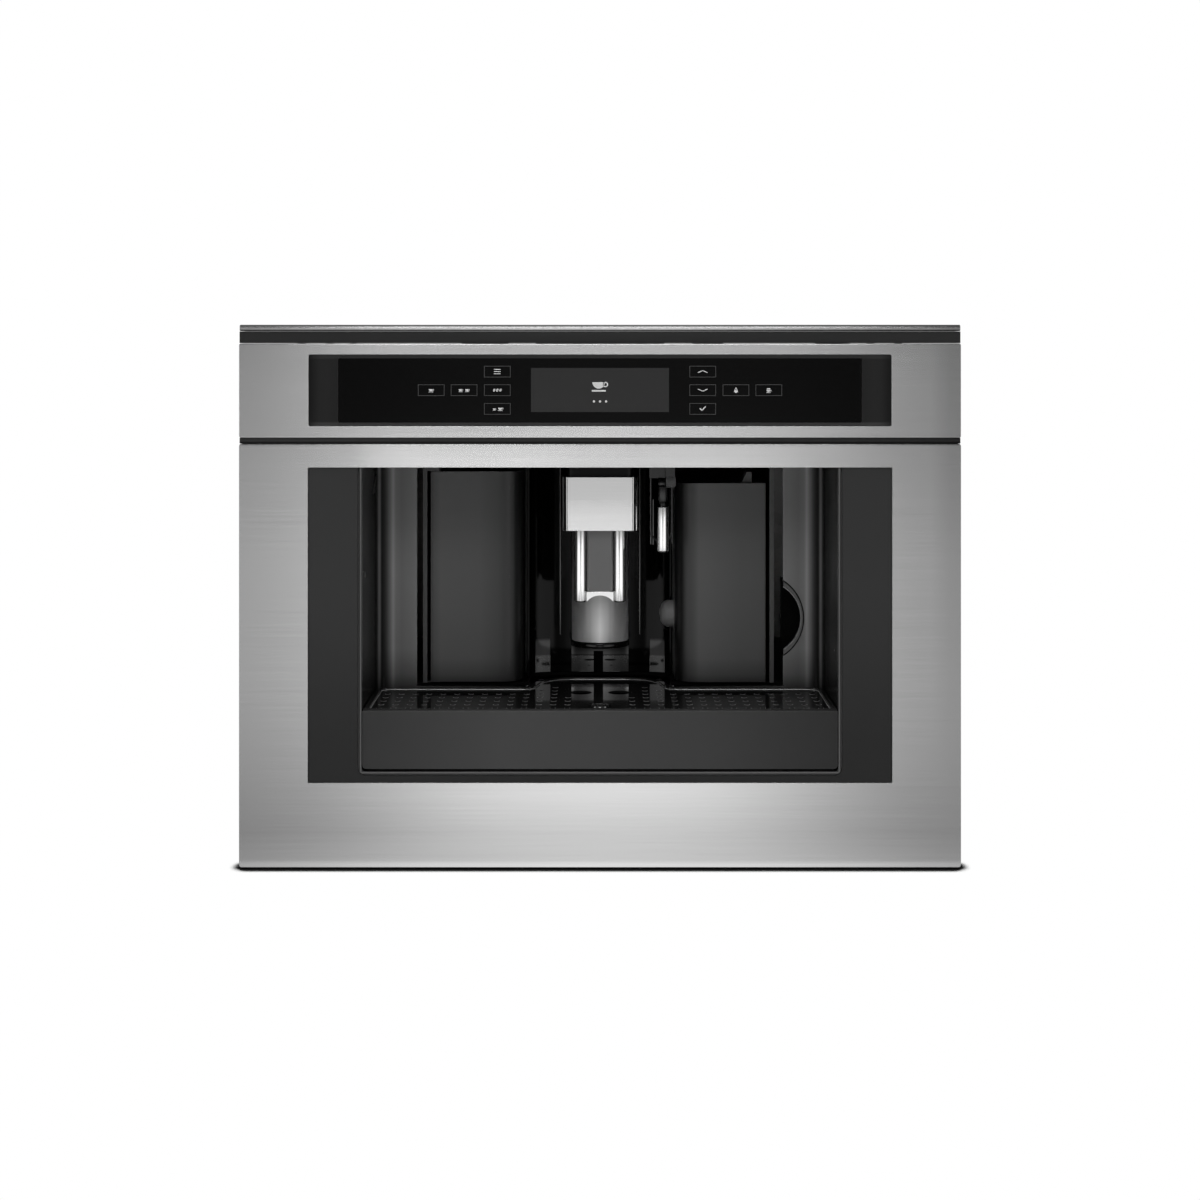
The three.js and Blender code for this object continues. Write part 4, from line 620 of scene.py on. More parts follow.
# %% Shaded mouldings
# painted light and shade: levels across the front and by height
CHEEK_STOPS = [
    (62, 4), (68, 20), (158, 112), (161.4, 124), (168, 118), (175, 112), (180, 122), (182.3, 146),
    (185, 100), (187.4, 58), (189.2, 34), (191, 20), (192.2, 30), (193.2, 100), (194.2, 100), (195.2, 34),
    (196.6, 12)
]
CHEEK_FOOT = [(132, 0.25), (142, 0.6), (165, 1.0)]
DOOR_STOPS = [(-150, 40), (-146, 76), (-140, 85), (-106, 79), (-90, 66), (-80, 44), (-74, 30), (-67, 12)]
TANK_STOPS = [
    (52, 112), (66.1, 112), (66.4, 20), (73, 26), (79.3, 58), (87, 86), (92, 86), (123, 76), (143, 74),
    (147, 58)
]
BAY_FOOT = [(136, 0.35), (142, 0.7), (156, 1.0)]
TRAY_STOPS = [
    (-196, 40), (-190, 42), (-165, 45), (-82, 55), (0, 53), (82, 49), (165, 38), (190, 34), (196, 32)
]
EVEN_FOOT = [(80, 1.0), (90, 1.0)]
PLATE_STOPS = [(-297, 42), (0, 41), (297, 39)]
PLATE_FOOT = [(75, 0.64), (106, 0.68), (148, 0.8), (190, 1.0), (238, 1.08), (330, 1.0)]
SEAM_STOPS = [(-297, 44), (0, 40), (200, 37), (297, 30)]
SEAM_FOOT = [(351.8, 0.3), (352.6, 1.0)]
FRAME_STOPS = [(214, 27), (226, 30), (232, 29), (238, 18)]
FRAME_FOOT = [(362, 2.4), (367.8, 2.4), (368.4, 1.0), (420.4, 1.0), (421, 1.7), (426, 1.7)]
RIM_HIGHLIGHT_LINES = [(196.3, 12), (196.9, 72), (197.7, 72), (198.2, 14), (199.0, 14), (199.3, 66), (199.6, 66)]
RIM_SHIFT = 276.7 * MM


def shaded_plastic(name, axis, stops, foot, roughness, specular, grain=1500.0):
    """Plastic with painted light and shade: a level by stops across the front, scaled by stops of height."""
    material, tree, shader = start_material(name, grey(stops[0][1]), roughness, specular=specular)
    add_grain(tree, shader, grain, roughness, 0.08, 0.02)
    shade = math_node(tree, "MULTIPLY", place_ramp(tree, axis, lit(stops)), place_ramp(tree, "Z", foot))
    # painted highlight: the edges are painted paler
    with_edge_highlights = math_node(tree, "MULTIPLY_ADD", place_group(tree, EDGE_MASK)["Mask"], EDGE_HIGHLIGHT_GAIN, 1.0)
    paint(tree, shader, math_node(tree, "MULTIPLY", shade, with_edge_highlights))
    return material


def highlight_lined_rim(name, roughness):
    """Plastic with highlight lines painted down the rim's sides and, shifted in height, along its foot."""
    material, tree, shader = start_material(name, grey(40), roughness, specular=0.4)
    add_grain(tree, shader, 1500.0, roughness, 0.06, 0.01, 0.2)
    below = math_node(tree, "SUBTRACT", RIM_SHIFT, coordinate(tree, "Z"))
    outwards = math_node(tree, "MAXIMUM", coordinate(tree, "SIDE"), below)
    paint(tree, shader, metre_ramp(tree, outwards, lit(RIM_HIGHLIGHT_LINES)))
    return material


LINER_GREY = shaded_plastic("liner_grey", "SIDE", CHEEK_STOPS, CHEEK_FOOT, 0.26, 0.15)
DOOR_GREY = shaded_plastic("door_grey", "X", DOOR_STOPS, BAY_FOOT, 0.34, 0.35)
TANK_GREY = shaded_plastic("tank_grey", "X", TANK_STOPS, BAY_FOOT, 0.34, 0.35)
TRAY_BLACK = shaded_plastic("tray_black", "X", TRAY_STOPS, EVEN_FOOT, 0.3, 0.25, 1900.0)
DARK_PLATE = shaded_plastic("dark_plate", "X", PLATE_STOPS, PLATE_FOOT, 0.42, 0.2, 1700.0)
SEAM_GREY = shaded_plastic("seam_grey", "X", SEAM_STOPS, SEAM_FOOT, 0.5, 0.1)
WINDOW_GREY = shaded_plastic("window_grey", "SIDE", FRAME_STOPS, FRAME_FOOT, 0.3, 0.12)
RIM_HIGHLIGHT_GREY = highlight_lined_rim("rim_highlight_grey", 0.2)
print("shaded mouldings ready")

# %% [markdown]
# ## Black glass, print and circuit board
# The glass over the controls is black, with the display as a slightly lighter area behind it. One material
# with a patch mask gives both. The keys and signs are printed on it in grey and white. The board behind it is
# green solder mask.

# %% Glass, print and board
DISPLAY = {"Half": 0.057, "Low": 0.3765, "High": 0.4131, "Soft": 0.0003}

GLASS, tree, shader = start_material("window_glass", grey(8), 0.04, specular=0.1)
vary_color(tree, shader, place_group(tree, PATCH_MASK, **DISPLAY)["Mask"], 8, 44)
add_grain(tree, shader, 200.0, 0.04, 0.03)
OUTLINE_PRINT = plastic("outline_print", 52, 0.4, 800.0, 0.002, 0.1)
SIGN_PRINT = plastic("sign_print", 186, 0.4, 800.0, 0.002, 0.1)
CIRCUIT, tree, shader = start_material("circuit", (0.012, 0.09, 0.03), 0.45)
add_grain(tree, shader, 420.0, 0.45, 0.2, 0.02, 0.3)
print("finishes:", len(bpy.data.materials))

# %% [markdown]
# ## Dress the solids
# A CAD solid arrives as loose flat triangles. They are welded, flat ones are joined, and sharp edges are
# rounded by a few tenths of a millimetre to catch a thin line of light. Weighted normals keep faces flat.

# %% Finish of each solid
FINISH = [
    (STEEL, ["lower_fascia", "control_panel", "top_ledge", "head_face"]),
    (POLISHED, ["head_shell", "spout_tube_left", "spout_tube_right", "spout_bridge", "steam_nozzle"]),
    (ZINC, ["mount_rail_right", "mount_rail_left", "mid_rail_right", "mid_rail_left", "inner_rail_right",
            "inner_rail_left", "rear_tie_bar", "base_pan", "casing_wrap", "top_cover", "front_frame",
            "tray_channel"]),
    (CAST, ["burr_cone", "thermoblock"]),
    (DOOR_GREY, ["service_door"]),
    (SATIN_GREY, ["tank_bay", "brew_bay", "tank_lid", "grounds_container", "chute_lid", "grind_dial"]),
    (WINDOW_GREY, ["window_frame"]),
    (RIM_HIGHLIGHT_GREY, ["niche_rim"]),
    (RIM_GREY, ["nozzle_bracket"]),
    (PIT_SHADE_BLACK, ["tank_grip", "mid_shelf"]),
    (TANK_GREY, ["tank_front"]),
    (MID_GREY, ["spout_carrier", "brew_piston"]),
    (LINER_GREY, ["niche_liner"]),
    (RECESS_BLACK, ["recess_wall"]),
    (GRATE_BLACK, ["drip_grate", "drip_tray", "tray_float"]),
    (MATTE_BLACK, ["top_band", "brew_group", "grinder", "powder_chute", "switch_bezel", "main_switch",
                   "water_pump", "power_inlet"]),
    (TRAY_BLACK, ["tray_front"]),
    (DARK_PLATE, ["niche_bezel"]),
    (COLUMN_METAL, ["column"]),
    (CIRCUIT, ["control_board"]),
    (SMOKED, ["water_tank", "bean_hopper", "hopper_lid"]),
    (GLASS, ["window_glass"]),
]
EDGE = 0.3
WIDE_EDGES = {"niche_rim": 0.8, "drip_grate": 0.6, "drip_tray": 0.8, "service_door": 0.8, "tank_front": 0.8,
              "top_ledge": 0.6, "head_shell": 1.5}
WELD_REACH = 0.01 * MM
FLAT_ANGLE = math.radians(0.5)


def round_edges(item, width, segments=3, sharp=30):
    """Round the edges that turn by more than the sharp angle, in degrees, to a width in millimetres."""
    bevel = item.modifiers.new("edge", "BEVEL")
    bevel.width = width * MM
    bevel.segments = segments
    bevel.limit_method = "ANGLE"
    bevel.angle_limit = math.radians(sharp)


def dress(node, material):
    item = NODES[node]
    select_only(item)
    bpy.ops.object.shade_smooth()
    item.data.materials.clear()
    item.data.materials.append(material)
    item.modifiers.new("weld", "WELD").merge_threshold = WELD_REACH
    flat = item.modifiers.new("flat", "DECIMATE")
    flat.decimate_type = "DISSOLVE"
    flat.angle_limit = FLAT_ANGLE
    round_edges(item, WIDE_EDGES.get(node, EDGE), 3 if node in WIDE_EDGES else 2, 35)
    item.modifiers.new("normals", "WEIGHTED_NORMAL").weight = 100


for material, names in FINISH:
    for name in names:
        dress(name, material)
print("dressed", sum(len(names) for _, names in FINISH), "of", len(NODES))

# %% [markdown]
# ## Modelling helpers
# The fine pieces are built from primitives, added at their size and place and then shaped in edit mode. Sizes
# are in millimetres, as on a drawing. Faces are picked by where they are or which way they face.

# %% Modelling helpers
SMOOTH_ANGLE = math.radians(32)
ALIGNED = 0.9


def place(x, depth, z):
    return Vector((x * MM, FRONT_Y + depth * MM, z * MM))


def apply_place(item):
    select_only(item)
    bpy.ops.object.transform_apply(location=True, rotation=True, scale=True)


def add_box(name, xs, depths, zs):
    select_nothing()
    low = place(xs[0], depths[0], zs[0])
    high = place(xs[1], depths[1], zs[1])
    bpy.ops.mesh.primitive_cube_add(size=1, location=(low + high) / 2)
    item = bpy.context.object
    item.name = name
    item.scale = high - low
    apply_place(item)
    return item


def add_round(name, centre, radius, length, sides, turn=(0, 0, 0)):
    """A cylinder about its centre, turned from upright by degrees. Its place isn't applied yet."""
    select_nothing()
    bpy.ops.mesh.primitive_cylinder_add(
        vertices=sides, radius=radius * MM, depth=length * MM, location=centre,
        rotation=[math.radians(angle) for angle in turn])
    item = bpy.context.object
    item.name = name
    return item


def add_upright(name, x, depth, ends, radius, sides=64):
    """A cylinder that stands between two heights."""
    item = add_round(name, place(x, depth, (ends[0] + ends[1]) / 2), radius, ends[1] - ends[0], sides)
    apply_place(item)
    return item


def copy_piece(item, name, x=0.0, depth=0.0, z=0.0):
    select_only(item)
    bpy.ops.object.duplicate(linked=False)
    twin = bpy.context.object
    twin.name = name
    bpy.ops.transform.translate(value=(x * MM, depth * MM, z * MM))
    apply_place(twin)
    return twin


def join_pieces(name, pieces):
    select_nothing()
    for piece in pieces:
        piece.select_set(True)
    bpy.context.view_layer.objects.active = pieces[0]
    bpy.ops.object.join()
    item = bpy.context.object
    item.name = name
    return item


def subtract(item, cutter):
    """Take the cutter out of the item with a Boolean and remove it."""
    tool = item.modifiers.new("less", "BOOLEAN")
    tool.operation = "DIFFERENCE"
    tool.object = cutter
    select_only(item)
    bpy.ops.object.modifier_apply(modifier="less")
    bpy.data.objects.remove(cutter)


def finish_piece(item, material, body, slot, *nodes):
    select_only(item)
    bpy.ops.object.shade_smooth_by_angle(angle=SMOOTH_ANGLE)
    item.data.materials.clear()
    item.data.materials.append(material)
    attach(item, body)
    if nodes:
        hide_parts(*nodes)


def facing(axis, sign):
    """A test for faces that look along an axis, 0 to 2, forwards or backwards."""
    return lambda centre, normal: sign * normal[axis] > ALIGNED


FRONT = facing(1, -1)
TOP = facing(2, 1)
FOOT = facing(2, -1)


def both_ends(centre, normal):
    return abs(normal.z) > ALIGNED


def every_face(centre, normal):
    return True


def pick_faces(item, test):
    """Enter edit mode with the faces selected whose centre and normal pass the test."""
    select_only(item)
    bpy.context.tool_settings.mesh_select_mode = (False, False, True)
    for face in item.data.polygons:
        face.select = test(face.center, face.normal)
    bpy.ops.object.mode_set(mode="EDIT")


def pick_edges(item, test):
    """Enter edit mode with the edges selected whose two ends pass the test."""
    select_only(item)
    bpy.context.tool_settings.mesh_select_mode = (False, True, False)
    spots = item.data.vertices
    for element in (*item.data.polygons, *spots):
        element.select = False
    for edge in item.data.edges:
        edge.select = test(*(spots[n].co for n in edge.vertices))
    bpy.ops.object.mode_set(mode="EDIT")


def bevel_faces(item, test, width, segments=3):
    pick_faces(item, test)
    bpy.ops.mesh.bevel(offset=width * MM, segments=segments)


def extrude(x=0.0, y=0.0, z=0.0):
    bpy.ops.mesh.extrude_region_move(TRANSFORM_OT_translate={"value": (x * MM, y * MM, z * MM)})


def sink(item, test, rim, z):
    """Inset faces by the width of a rim and push them up or down."""
    pick_faces(item, test)
    bpy.ops.mesh.inset(thickness=rim * MM)
    extrude(z=z)


def hollow_out(item, line):
    """Leave only the outline of a flat piece, as wide as the line."""
    pick_faces(item, every_face)
    bpy.ops.mesh.inset(thickness=line * MM)
    bpy.ops.mesh.delete(type="FACE")


def turn_outwards():
    """Make all faces of the piece in edit mode point outwards."""
    bpy.ops.mesh.select_all(action="SELECT")
    bpy.ops.mesh.normals_make_consistent(inside=False)


def cut_away(item, point, normal):
    """Bisect the whole mesh, clear the side that the normal points to and close the cut."""
    select_only(item)
    bpy.ops.object.mode_set(mode="EDIT")
    bpy.ops.mesh.select_all(action="SELECT")
    bpy.ops.mesh.bisect(plane_co=point, plane_no=normal, use_fill=True, clear_outer=True)
    select_nothing()


print("helpers ready")

# %% [markdown]
# ## Spouts
# Two polished tubes carry the coffee down from the head. Each ends in a short black outlet. A cylinder with
# many sides keeps the long highlight straight; its lower end is rounded with a bevel.

# %% Spouts
SPOUT_X = 16.8
SPOUT_DEPTH = 89
SPOUT_RADIUS = 5.6
SPOUT_ENDS = (209.6, 273.9)
OUTLET_ENDS = (208.8, 210.4)
OUTLET_RADIUS = SPOUT_RADIUS - 1.3

tube = add_upright("tube_left", -SPOUT_X, SPOUT_DEPTH, SPOUT_ENDS, SPOUT_RADIUS)
bevel_faces(tube, FOOT, 0.7, 4)
outlet = add_upright("outlet_left", -SPOUT_X, SPOUT_DEPTH, OUTLET_ENDS, OUTLET_RADIUS, 48)
sink(outlet, FOOT, 1.1, 1.0)
tube_right = copy_piece(tube, "tube_right", x=2 * SPOUT_X)
outlet_right = copy_piece(outlet, "outlet_right", x=2 * SPOUT_X)
finish_piece(tube, POLISHED, "spout", "polished_steel", "spout_tube_left")
finish_piece(tube_right, POLISHED, "spout", "polished_steel", "spout_tube_right")
finish_piece(outlet, GLOSS_BLACK, "spout", "gloss_black")
finish_piece(outlet_right, GLOSS_BLACK, "spout", "gloss_black")
print("tube", len(tube.data.polygons), "faces")

# %% [markdown]
# The bridge between the tubes is a block with an arch in its foot. A large cylinder that lies from front to
# back cuts it with a Boolean, the way a drill leaves it.

# %% Bridge
BRIDGE_HALF = SPOUT_X - SPOUT_RADIUS + 0.5
BRIDGE_DEPTHS = (83.8, 94.6)
BRIDGE_ENDS = (209.5, 218.2)
ARCH_RADIUS = 14.7
ARCH_TOP = 214.7
LYING = (90, 0, 0)

bridge = add_box("bridge", (-BRIDGE_HALF, BRIDGE_HALF), BRIDGE_DEPTHS, BRIDGE_ENDS)
arch_middle = place(0, SPOUT_DEPTH, ARCH_TOP - ARCH_RADIUS)
subtract(bridge, add_round("arch", arch_middle, ARCH_RADIUS, 40, 128, LYING))
round_edges(bridge, 0.5)
finish_piece(bridge, POLISHED, "spout", "polished_steel", "spout_bridge")
print("bridge", [round(v, 4) for v in bridge.dimensions])

# %% [markdown]
# ## Column
# A satin metal column stands on a black foot ring at the back of the recess, cut flat where the wall is. A
# dark polished plate with a black slot of painted shade closes the wall below it, and a thin rail runs down
# each side of it, painted light grey as a highlight line.

# %% Column
COLUMN_DEPTH = 147.9
COLUMN_RADIUS = 25.5
COLUMN_ENDS = (167.6, 330.6)
FOOT_ENDS = (162.6, 167.4)
WALL_DEPTH = 167.6
RAIL_X = 35.7
RAIL_HALF = 0.5

body = add_upright("column_body", 0, COLUMN_DEPTH, COLUMN_ENDS, COLUMN_RADIUS, 128)
bevel_faces(body, FOOT, 0.8)
foot = add_upright("column_foot", 0, COLUMN_DEPTH, FOOT_ENDS, COLUMN_RADIUS + 0.9, 128)
bevel_faces(foot, both_ends, 1.0)
for piece in (body, foot):
    cut_away(piece, place(0, WALL_DEPTH, 0), (0, 1, 0))
finish_piece(body, COLUMN_METAL, "machine", "column_grey", "column")
finish_piece(foot, GLOSS_BLACK, "machine", "gloss_black")

plate = add_box("recess_plate", (-26, 26), (167.0, 167.7), (135.2, 162.4))
slot = add_box("plate_slot", (-5.8, 2.8), (166.7, 167.2), (135.2, 154.0))
rail = add_box("recess_rail_left", (-RAIL_X - RAIL_HALF, -RAIL_X + RAIL_HALF), (147, 166.6), (172, 330.4))
for piece in (plate, slot, rail):
    bevel_faces(piece, FRONT, 0.2)
rail_right = copy_piece(rail, "recess_rail_right", x=2 * RAIL_X)
finish_piece(plate, DARK_MIRROR, "machine", "polished_steel")
finish_piece(slot, PIT_SHADE_BLACK, "machine", "matte_black")
finish_piece(rail, LINE_HIGHLIGHT_GREY, "machine", "gloss_black")
finish_piece(rail_right, LINE_HIGHLIGHT_GREY, "machine", "gloss_black")
print("column", [round(v, 4) for v in body.dimensions])

# %% [markdown]
# ## Steam nozzle
# A steel sleeve hangs from a stem on a cross pin, with a black tip. The sleeve is a cylinder with both ends
# bevelled; a dark collar joins it to the stem, and the tip's mouth is inset and pushed in.

# %% Steam nozzle
NOZZLE_X = 54.5
NOZZLE_DEPTH = 85
NOZZLE_RADIUS = 5.0
PIVOT_Z = 312.5

sleeve = add_upright("nozzle_sleeve", NOZZLE_X, NOZZLE_DEPTH, (253.2, 292.0), NOZZLE_RADIUS)
bevel_faces(sleeve, both_ends, 0.8, 4)
tip = add_upright("nozzle_tip", NOZZLE_X, NOZZLE_DEPTH, (252.4, 253.6), NOZZLE_RADIUS - 0.7, 48)
sink(tip, FOOT, 1.6, 0.8)
stem = add_upright("nozzle_stem", NOZZLE_X, NOZZLE_DEPTH, (296.0, 310.0), 3.9, 48)
bevel_faces(stem, TOP, 1.0)
collar = add_upright("nozzle_collar", NOZZLE_X, NOZZLE_DEPTH, (291.8, 296.4), 3.0, 48)
bevel_faces(collar, TOP, 0.6)
pivot = add_round("nozzle_pivot", place(NOZZLE_X - 0.85, NOZZLE_DEPTH, PIVOT_Z), 3.2, 6.1, 48, (0, 90, 0))
apply_place(pivot)
bevel_faces(pivot, lambda centre, normal: abs(normal.x) > ALIGNED, 0.4)
finish_piece(sleeve, POLISHED, "nozzle", "polished_steel", "steam_nozzle")
finish_piece(tip, GLOSS_BLACK, "nozzle", "gloss_black")
finish_piece(stem, RIM_GREY, "nozzle", "gloss_black")
finish_piece(collar, GLOSS_BLACK, "nozzle", "gloss_black")
finish_piece(pivot, RIM_GREY, "nozzle", "gloss_black")
print("nozzle in 5 pieces")

# %% [markdown]
# ## Touch keys
# Each key is a thin printed outline on the glass. A plane is inset by the width of the line, its middle is
# deleted and the rest gets a little thickness. One outline is drawn and the other nine are copies. They are
# joined, since they are one print.

# %% Key outlines
MARK_DEPTH = 0.5
MARK_THICKNESS = 0.09
KEY_SIZE = (21.9, 9.5)
LINE = 0.55
KEY_ROWS = (410.0, 394.7, 379.3)
KEY_COLUMNS = (84.65, 112.05, 139.15)
KEY_PLACES = [(KEY_COLUMNS[0], z) for z in KEY_ROWS] + [(x, KEY_ROWS[1]) for x in KEY_COLUMNS[1:]]


def add_plane(x, z, width, height, turn=0.0):
    select_nothing()
    bpy.ops.mesh.primitive_plane_add(
        size=1, location=place(x, MARK_DEPTH, z), rotation=(math.radians(90), math.radians(turn), 0))
    item = bpy.context.object
    item.scale = (width * MM, height * MM, 1)
    apply_place(item)
    return item


def add_disc(x, z, radius, wide=1.0, turn=0.0, corners=40):
    select_nothing()
    bpy.ops.mesh.primitive_circle_add(
        vertices=corners, radius=radius * MM, fill_type="NGON", location=place(x, MARK_DEPTH, z),
        rotation=(math.radians(90), math.radians(turn), 0))
    item = bpy.context.object
    item.scale = (wide, 1, 1)
    apply_place(item)
    return item


def make_print(name, parts, material):
    item = join_pieces(name, parts)
    pick_faces(item, every_face)
    extrude(y=MARK_THICKNESS)
    turn_outwards()
    finish_piece(item, material, "machine", "window_glass")


first_x, first_z = KEY_PLACES[0]
first = add_plane(-first_x, first_z, *KEY_SIZE)
hollow_out(first, LINE)
outlines = [first]
for side in (-1, 1):
    for x, z in KEY_PLACES:
        if (side * x, z) != (-first_x, first_z):
            outlines.append(copy_piece(first, "outline", x=side * x + first_x, z=z - first_z))
make_print("key_outlines", outlines, OUTLINE_PRINT)
print("outlines:", len(outlines))

# %% [markdown]
# Plain signs stand in the keys: arrows, bars, cups, beans, a drop and a tick, each put together from thin
# planes and discs. The display shows a cup with three dots below it.

# %% Key signs
def bar(x, z, width, height, turn=0.0):
    return [add_plane(x, z, width, height, turn)]


def arrow(x, z, up):
    lean = 24 * up
    return bar(x - 1.9, z, 4.5, 0.55, -lean) + bar(x + 1.9, z, 4.5, 0.55, lean)


def cup(x, z, size):
    """A bowl with its flat rim upwards, a ring for the handle and a saucer."""
    bowl = add_disc(x, z + 0.5 * size, size)
    cut_away(bowl, place(x, 0, z + 0.5 * size), (0, 0, 1))
    handle = add_disc(x + 1.05 * size, z + 0.15 * size, 0.42 * size)
    hollow_out(handle, 0.16 * size)
    return [bowl, handle] + bar(x, z - 0.85 * size, 2.2 * size, 0.24 * size)


def bean(x, z):
    item = add_disc(x, z, 1.25, 0.7, 25)
    hollow_out(item, 0.35)
    return [item] + bar(x, z, 0.35, 2.2, 25)


def drop(x, z):
    return [add_disc(x, z - 0.7, 1.5), add_disc(x, z + 0.75, 1.75, corners=3)]


near, middle, far = KEY_COLUMNS
top, centre, low = KEY_ROWS
signs = bar(-near, top + 1.8, 5.6, 0.5) + bar(-near, top, 5.6, 0.5) + bar(-near, top - 1.8, 5.6, 0.5)
signs += bean(-near - 2.6, centre) + bean(-near, centre) + bean(-near + 2.6, centre)
signs += cup(-near - 2.6, low - 0.3, 1.1) + cup(-near + 2.4, low, 1.7)
signs += cup(-middle - 2.9, centre, 1.5) + cup(-middle + 2.5, centre, 1.5) + cup(-far - 0.2, centre, 1.7)
signs += arrow(near, top, 1) + arrow(near, centre, -1)
signs += bar(near - 1.4, low - 0.5, 2.6, 0.8, 45) + bar(near + 0.9, low + 0.3, 4.6, 0.8, -45)
signs += drop(middle, centre)
signs += cup(far - 0.2, centre - 0.6, 1.6) + bar(far - 0.2, centre + 1.1, 2.6, 0.8)
make_print("key_signs", signs, SIGN_PRINT)

picture = cup(-1.0, 398.6, 5.2)
picture += [add_disc(x, 385.4, 0.9) for x in (-5, 0, 5)]
make_print("display_picture", picture, SIGN_PRINT)
print("signs of", len(signs), "parts")

# %% [markdown]
# ## Finger scoop
# The scoop in the right cheek has a raised rim like a crescent: a low round block, less a smaller round block
# that stands off to the right, cut off at the edge of the cheek. A bevel gives the rim its light edge. A
# near-black crescent of painted shade marks the groove round it, and a thin light crescent inside it is a
# painted highlight line; both are made the same way.

# %% Finger scoop
SCOOP_X = 140.4
SCOOP_Z = 191.5
SCOOP_DEPTH = 112.2
CHEEK_INNER = 161.6
HOLLOW_X = 4.4
CUTTER_LENGTH = 8.0


def add_scoop_block(name, shift, radius, thickness):
    return add_round(name, place(SCOOP_X + shift, SCOOP_DEPTH, SCOOP_Z), radius, thickness, 192, LYING)


def add_crescent(name, outer, inner, thickness, edge, material):
    """A round block less another, each given by its shift to the right and its radius."""
    item = add_scoop_block(name, *outer, thickness)
    subtract(item, add_scoop_block("hollow", *inner, CUTTER_LENGTH))
    apply_place(item)
    cut_away(item, place(CHEEK_INNER, 0, 0), (-1, 0, 0))
    if edge:
        round_edges(item, edge)
    finish_piece(item, material, "machine", "satin_grey")
    return item


scoop_rim = add_crescent("scoop_rim", (0.0, 38.6), (HOLLOW_X, 32.4), 2.4, 0.5, GRIP_RIM)
add_crescent("scoop_groove_shade", (0.0, 39.7), (0.0, 37.8), 0.7, 0.1, PIT_SHADE_BLACK)
add_crescent("scoop_highlight_line", (HOLLOW_X, 32.6), (HOLLOW_X, 31.8), 2.8, 0.0, LIP_HIGHLIGHT_GREY)
print("scoop rim", [round(v, 4) for v in scoop_rim.dimensions])

# %% [markdown]
# ## Nozzle guard
# Two thin wires stand beside the nozzle, one of them with a small hook, and a grey block holds the right
# one. Each wire is a slim bar with a rounded face, painted light grey as a highlight line.

# %% Nozzle guard
WIRE_DEPTHS = (96, 97)
HOOK_TOP = 258.5

left_wire = add_box("guard_left", (43.9, 44.7), WIRE_DEPTHS, (HOOK_TOP, 298))
pick_faces(left_wire, FOOT)
extrude(z=-0.8)
pick_faces(left_wire, lambda centre, normal: normal.x > ALIGNED and centre.z < HOOK_TOP * MM)
extrude(x=2.2)
right_wire = add_box("guard_right", (62.6, 63.3), WIRE_DEPTHS, (HOOK_TOP, 310))
block = add_box("guard_block", (57.4, 65.4), (76.8, 78.4), (310.2, 318.0))
for piece, material in ((left_wire, LINE_HIGHLIGHT_GREY), (right_wire, LINE_HIGHLIGHT_GREY), (block, SATIN_GREY)):
    bevel_faces(piece, FRONT, 0.2, 2)
    finish_piece(piece, material, "machine", "mid_grey")
print("guard ready")

# %% [markdown]
# ## Grate edge and hole lips
# A fine bead runs round the grate: a curve with a round section, drawn through the corners and turned into a
# mesh, and painted light grey as a highlight line. The near half of every hole has a raised lip whose light
# grey is a painted highlight. One lip is cut from a flat ring, and array modifiers set it out in the rows of
# the holes.

# %% Grate edge
GRATE_TOP = 129.55
BEAD_RADIUS = 0.38
BEAD_CORNERS = [
    # (x, depth) of each corner of the right half, then of its handles before and after
    ((191.1, 13.0), (130.0, 13.0), (191.1, 40.0)),
    ((191.1, 96.5), (191.1, 60.0), (191.1, 101.7)),
    ((181.7, 105.9), (186.9, 105.9), (150.0, 105.9)),
    ((77.4, 105.9), (110.0, 105.9), (61.4, 105.9)),
    ((56.4, 117.9), (57.4, 106.4), (53.4, 150.4)),
    ((22.0, 158.4), (36.0, 158.4), (8.0, 158.4)),
]

path = bpy.data.curves.new("grate_bead", "CURVE")
path.dimensions = "3D"
path.bevel_depth = BEAD_RADIUS * MM
path.bevel_resolution = 2
path.resolution_u = 24
spline = path.splines.new("BEZIER")
left_half = [[(-x, depth) for x, depth in (spot, after, before)]
             for spot, before, after in reversed(BEAD_CORNERS)]
corners = BEAD_CORNERS + left_half
spline.bezier_points.add(len(corners) - 1)
for knot, (spot, before, after) in zip(spline.bezier_points, corners):
    knot.handle_left_type = "FREE"
    knot.handle_right_type = "FREE"
    knot.co = place(*spot, GRATE_TOP)
    knot.handle_left = place(*before, GRATE_TOP)
    knot.handle_right = place(*after, GRATE_TOP)
spline.use_cyclic_u = True
bead = bpy.data.objects.new("grate_bead", path)
bpy.context.scene.collection.objects.link(bead)
select_only(bead)
bpy.ops.object.convert(target="MESH")
bead = bpy.context.object
finish_piece(bead, BEAD_HIGHLIGHT_GREY, "tray", "gloss_black")
print("bead", len(bead.data.polygons), "faces")

# %% Hole lips
COLUMN_START = 27.35
COLUMN_PITCH = 12.05
ROW_START = 17
ROW_PITCH = 16.6
HOLE_GROUPS = [(0, 1, 4), (1, 1, 7), (2, 1, 6), (3, 11, 5)]    # first column, columns, rows
HOLE_RADIUS = 2.5
LIP_WIDTH = 0.6
LIP_HEIGHT = 0.12

select_nothing()
bpy.ops.mesh.primitive_circle_add(
    vertices=24, radius=HOLE_RADIUS * MM, fill_type="NGON",
    location=place(COLUMN_START, ROW_START, GRATE_TOP))
lip = bpy.context.object
apply_place(lip)
hollow_out(lip, LIP_WIDTH)
pick_faces(lip, every_face)
extrude(z=LIP_HEIGHT)
turn_outwards()
cut_away(lip, place(0, ROW_START + 0.3, 0), (0, 1, 0))


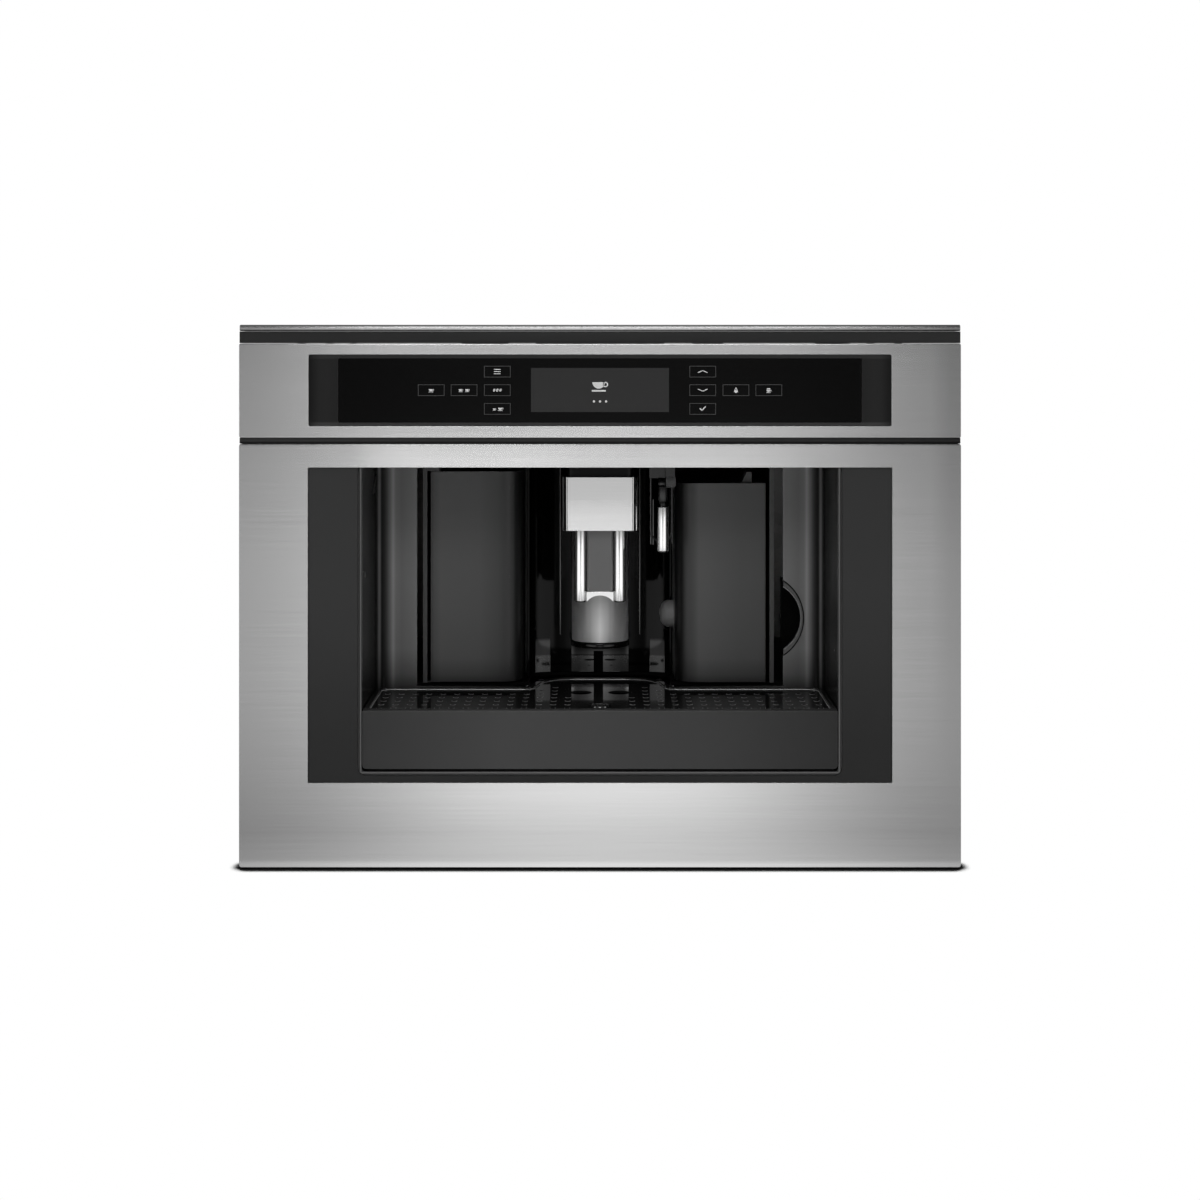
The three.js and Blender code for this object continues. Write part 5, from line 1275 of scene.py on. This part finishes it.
def set_out(item, axis, count, pitch):
    """Repeat a piece along an axis, 0 or 1."""
    if count > 1:
        rows = item.modifiers.new("rows", "ARRAY")
        rows.use_relative_offset = False
        rows.use_constant_offset = True
        rows.count = count
        rows.constant_offset_displace = [pitch * MM if n == axis else 0.0 for n in range(3)]
        select_only(item)
        bpy.ops.object.modifier_apply(modifier="rows")


groups = []
for first_column, columns, rows in HOLE_GROUPS:
    group = copy_piece(lip, "lips", x=first_column * COLUMN_PITCH)
    set_out(group, 1, rows, ROW_PITCH)
    set_out(group, 0, columns, COLUMN_PITCH)
    groups.append(group)
bpy.data.objects.remove(lip)
lips = join_pieces("grate_lips", groups)
lips.modifiers.new("both", "MIRROR")
bpy.ops.object.modifier_apply(modifier="both")
pick_faces(lips, every_face)
turn_outwards()
finish_piece(lips, LIP_HIGHLIGHT_GREY, "tray", "gloss_black")
print("lips", len(lips.data.polygons), "faces")

# %% [markdown]
# ## Seam strip and top band
# A dark strip fills the seam between the lower front and the control panel, and a dark band lies under the
# steel ledge at the top. Both run out to the ends of the steel, and their front edges get a small bevel.

# %% Seam strip and top band
STRIP_ENDS = (-297.3, 297.3)

seam_strip = add_box("seam_strip", STRIP_ENDS, (1.2, 19.6), (350.7, 355.2))
band = add_box("top_band_face", STRIP_ENDS, (1.2, 26.0), (433.5, 443.1))
for piece in (seam_strip, band):
    pick_edges(piece, lambda one, two: max(one.y, two.y) < FRONT_Y + 3 * MM)
    bpy.ops.mesh.bevel(offset=0.3 * MM, segments=2)
finish_piece(seam_strip, SEAM_GREY, "machine", "matte_black")
finish_piece(band, BAND_BLACK, "machine", "matte_black", "top_band")
for piece in (seam_strip, band):
    print(piece.name, [round(v, 4) for v in piece.dimensions])

# %% [markdown]
# ## Casing screws
# Low pan-head screws hold the sheets of the casing. A short cylinder gets a rounded rim, and its top is inset
# and pushed in for the driver. One is modelled standing on the top cover, and the rest are turned copies.

# %% Casing screws
SCREW_RADIUS = 3.4
SCREW_HEIGHT = 1.5
TOP_Z = 433.2
TOP_X = 251
SIDE_X = 262.0
REAR_X = 246
REAR_DEPTH = 385.8
LOW_Z = 15
HIGH_Z = 421

screw = add_upright("casing_screws", 0, 0, (0, SCREW_HEIGHT), SCREW_RADIUS, 32)
bevel_faces(screw, TOP, 0.6)
sink(screw, lambda centre, normal: normal.z > 0.99, 1.1, -0.7)


def set_screw(x, depth, z, axis=None, turn=0.0):
    """A copy of the screw at a place, turned about an axis where it doesn't stand upright."""
    twin = copy_piece(screw, "screw")
    if axis:
        bpy.ops.transform.rotate(value=math.radians(turn), orient_axis=axis, center_override=place(0, 0, 0))
    bpy.ops.transform.translate(value=(x * MM, depth * MM, z * MM))
    apply_place(twin)
    return twin


screws = []
for side in (-1, 1):
    for depth in (34, 205, 374):
        screws.append(set_screw(side * TOP_X, depth, TOP_Z))
    for depth in (36, 150, 262, 374):
        for z in (HIGH_Z, LOW_Z):
            screws.append(set_screw(side * SIDE_X, depth, z, "Y", -90 * side))
    for z in (LOW_Z, 60, 220, HIGH_Z):
        screws.append(set_screw(side * REAR_X, REAR_DEPTH, z, "X", 90))
bpy.data.objects.remove(screw)
screw_set = join_pieces("casing_screws", screws)
finish_piece(screw_set, CAST, "machine", "cast")
print(len(screws), "screws, over", [round(v, 4) for v in screw_set.dimensions])
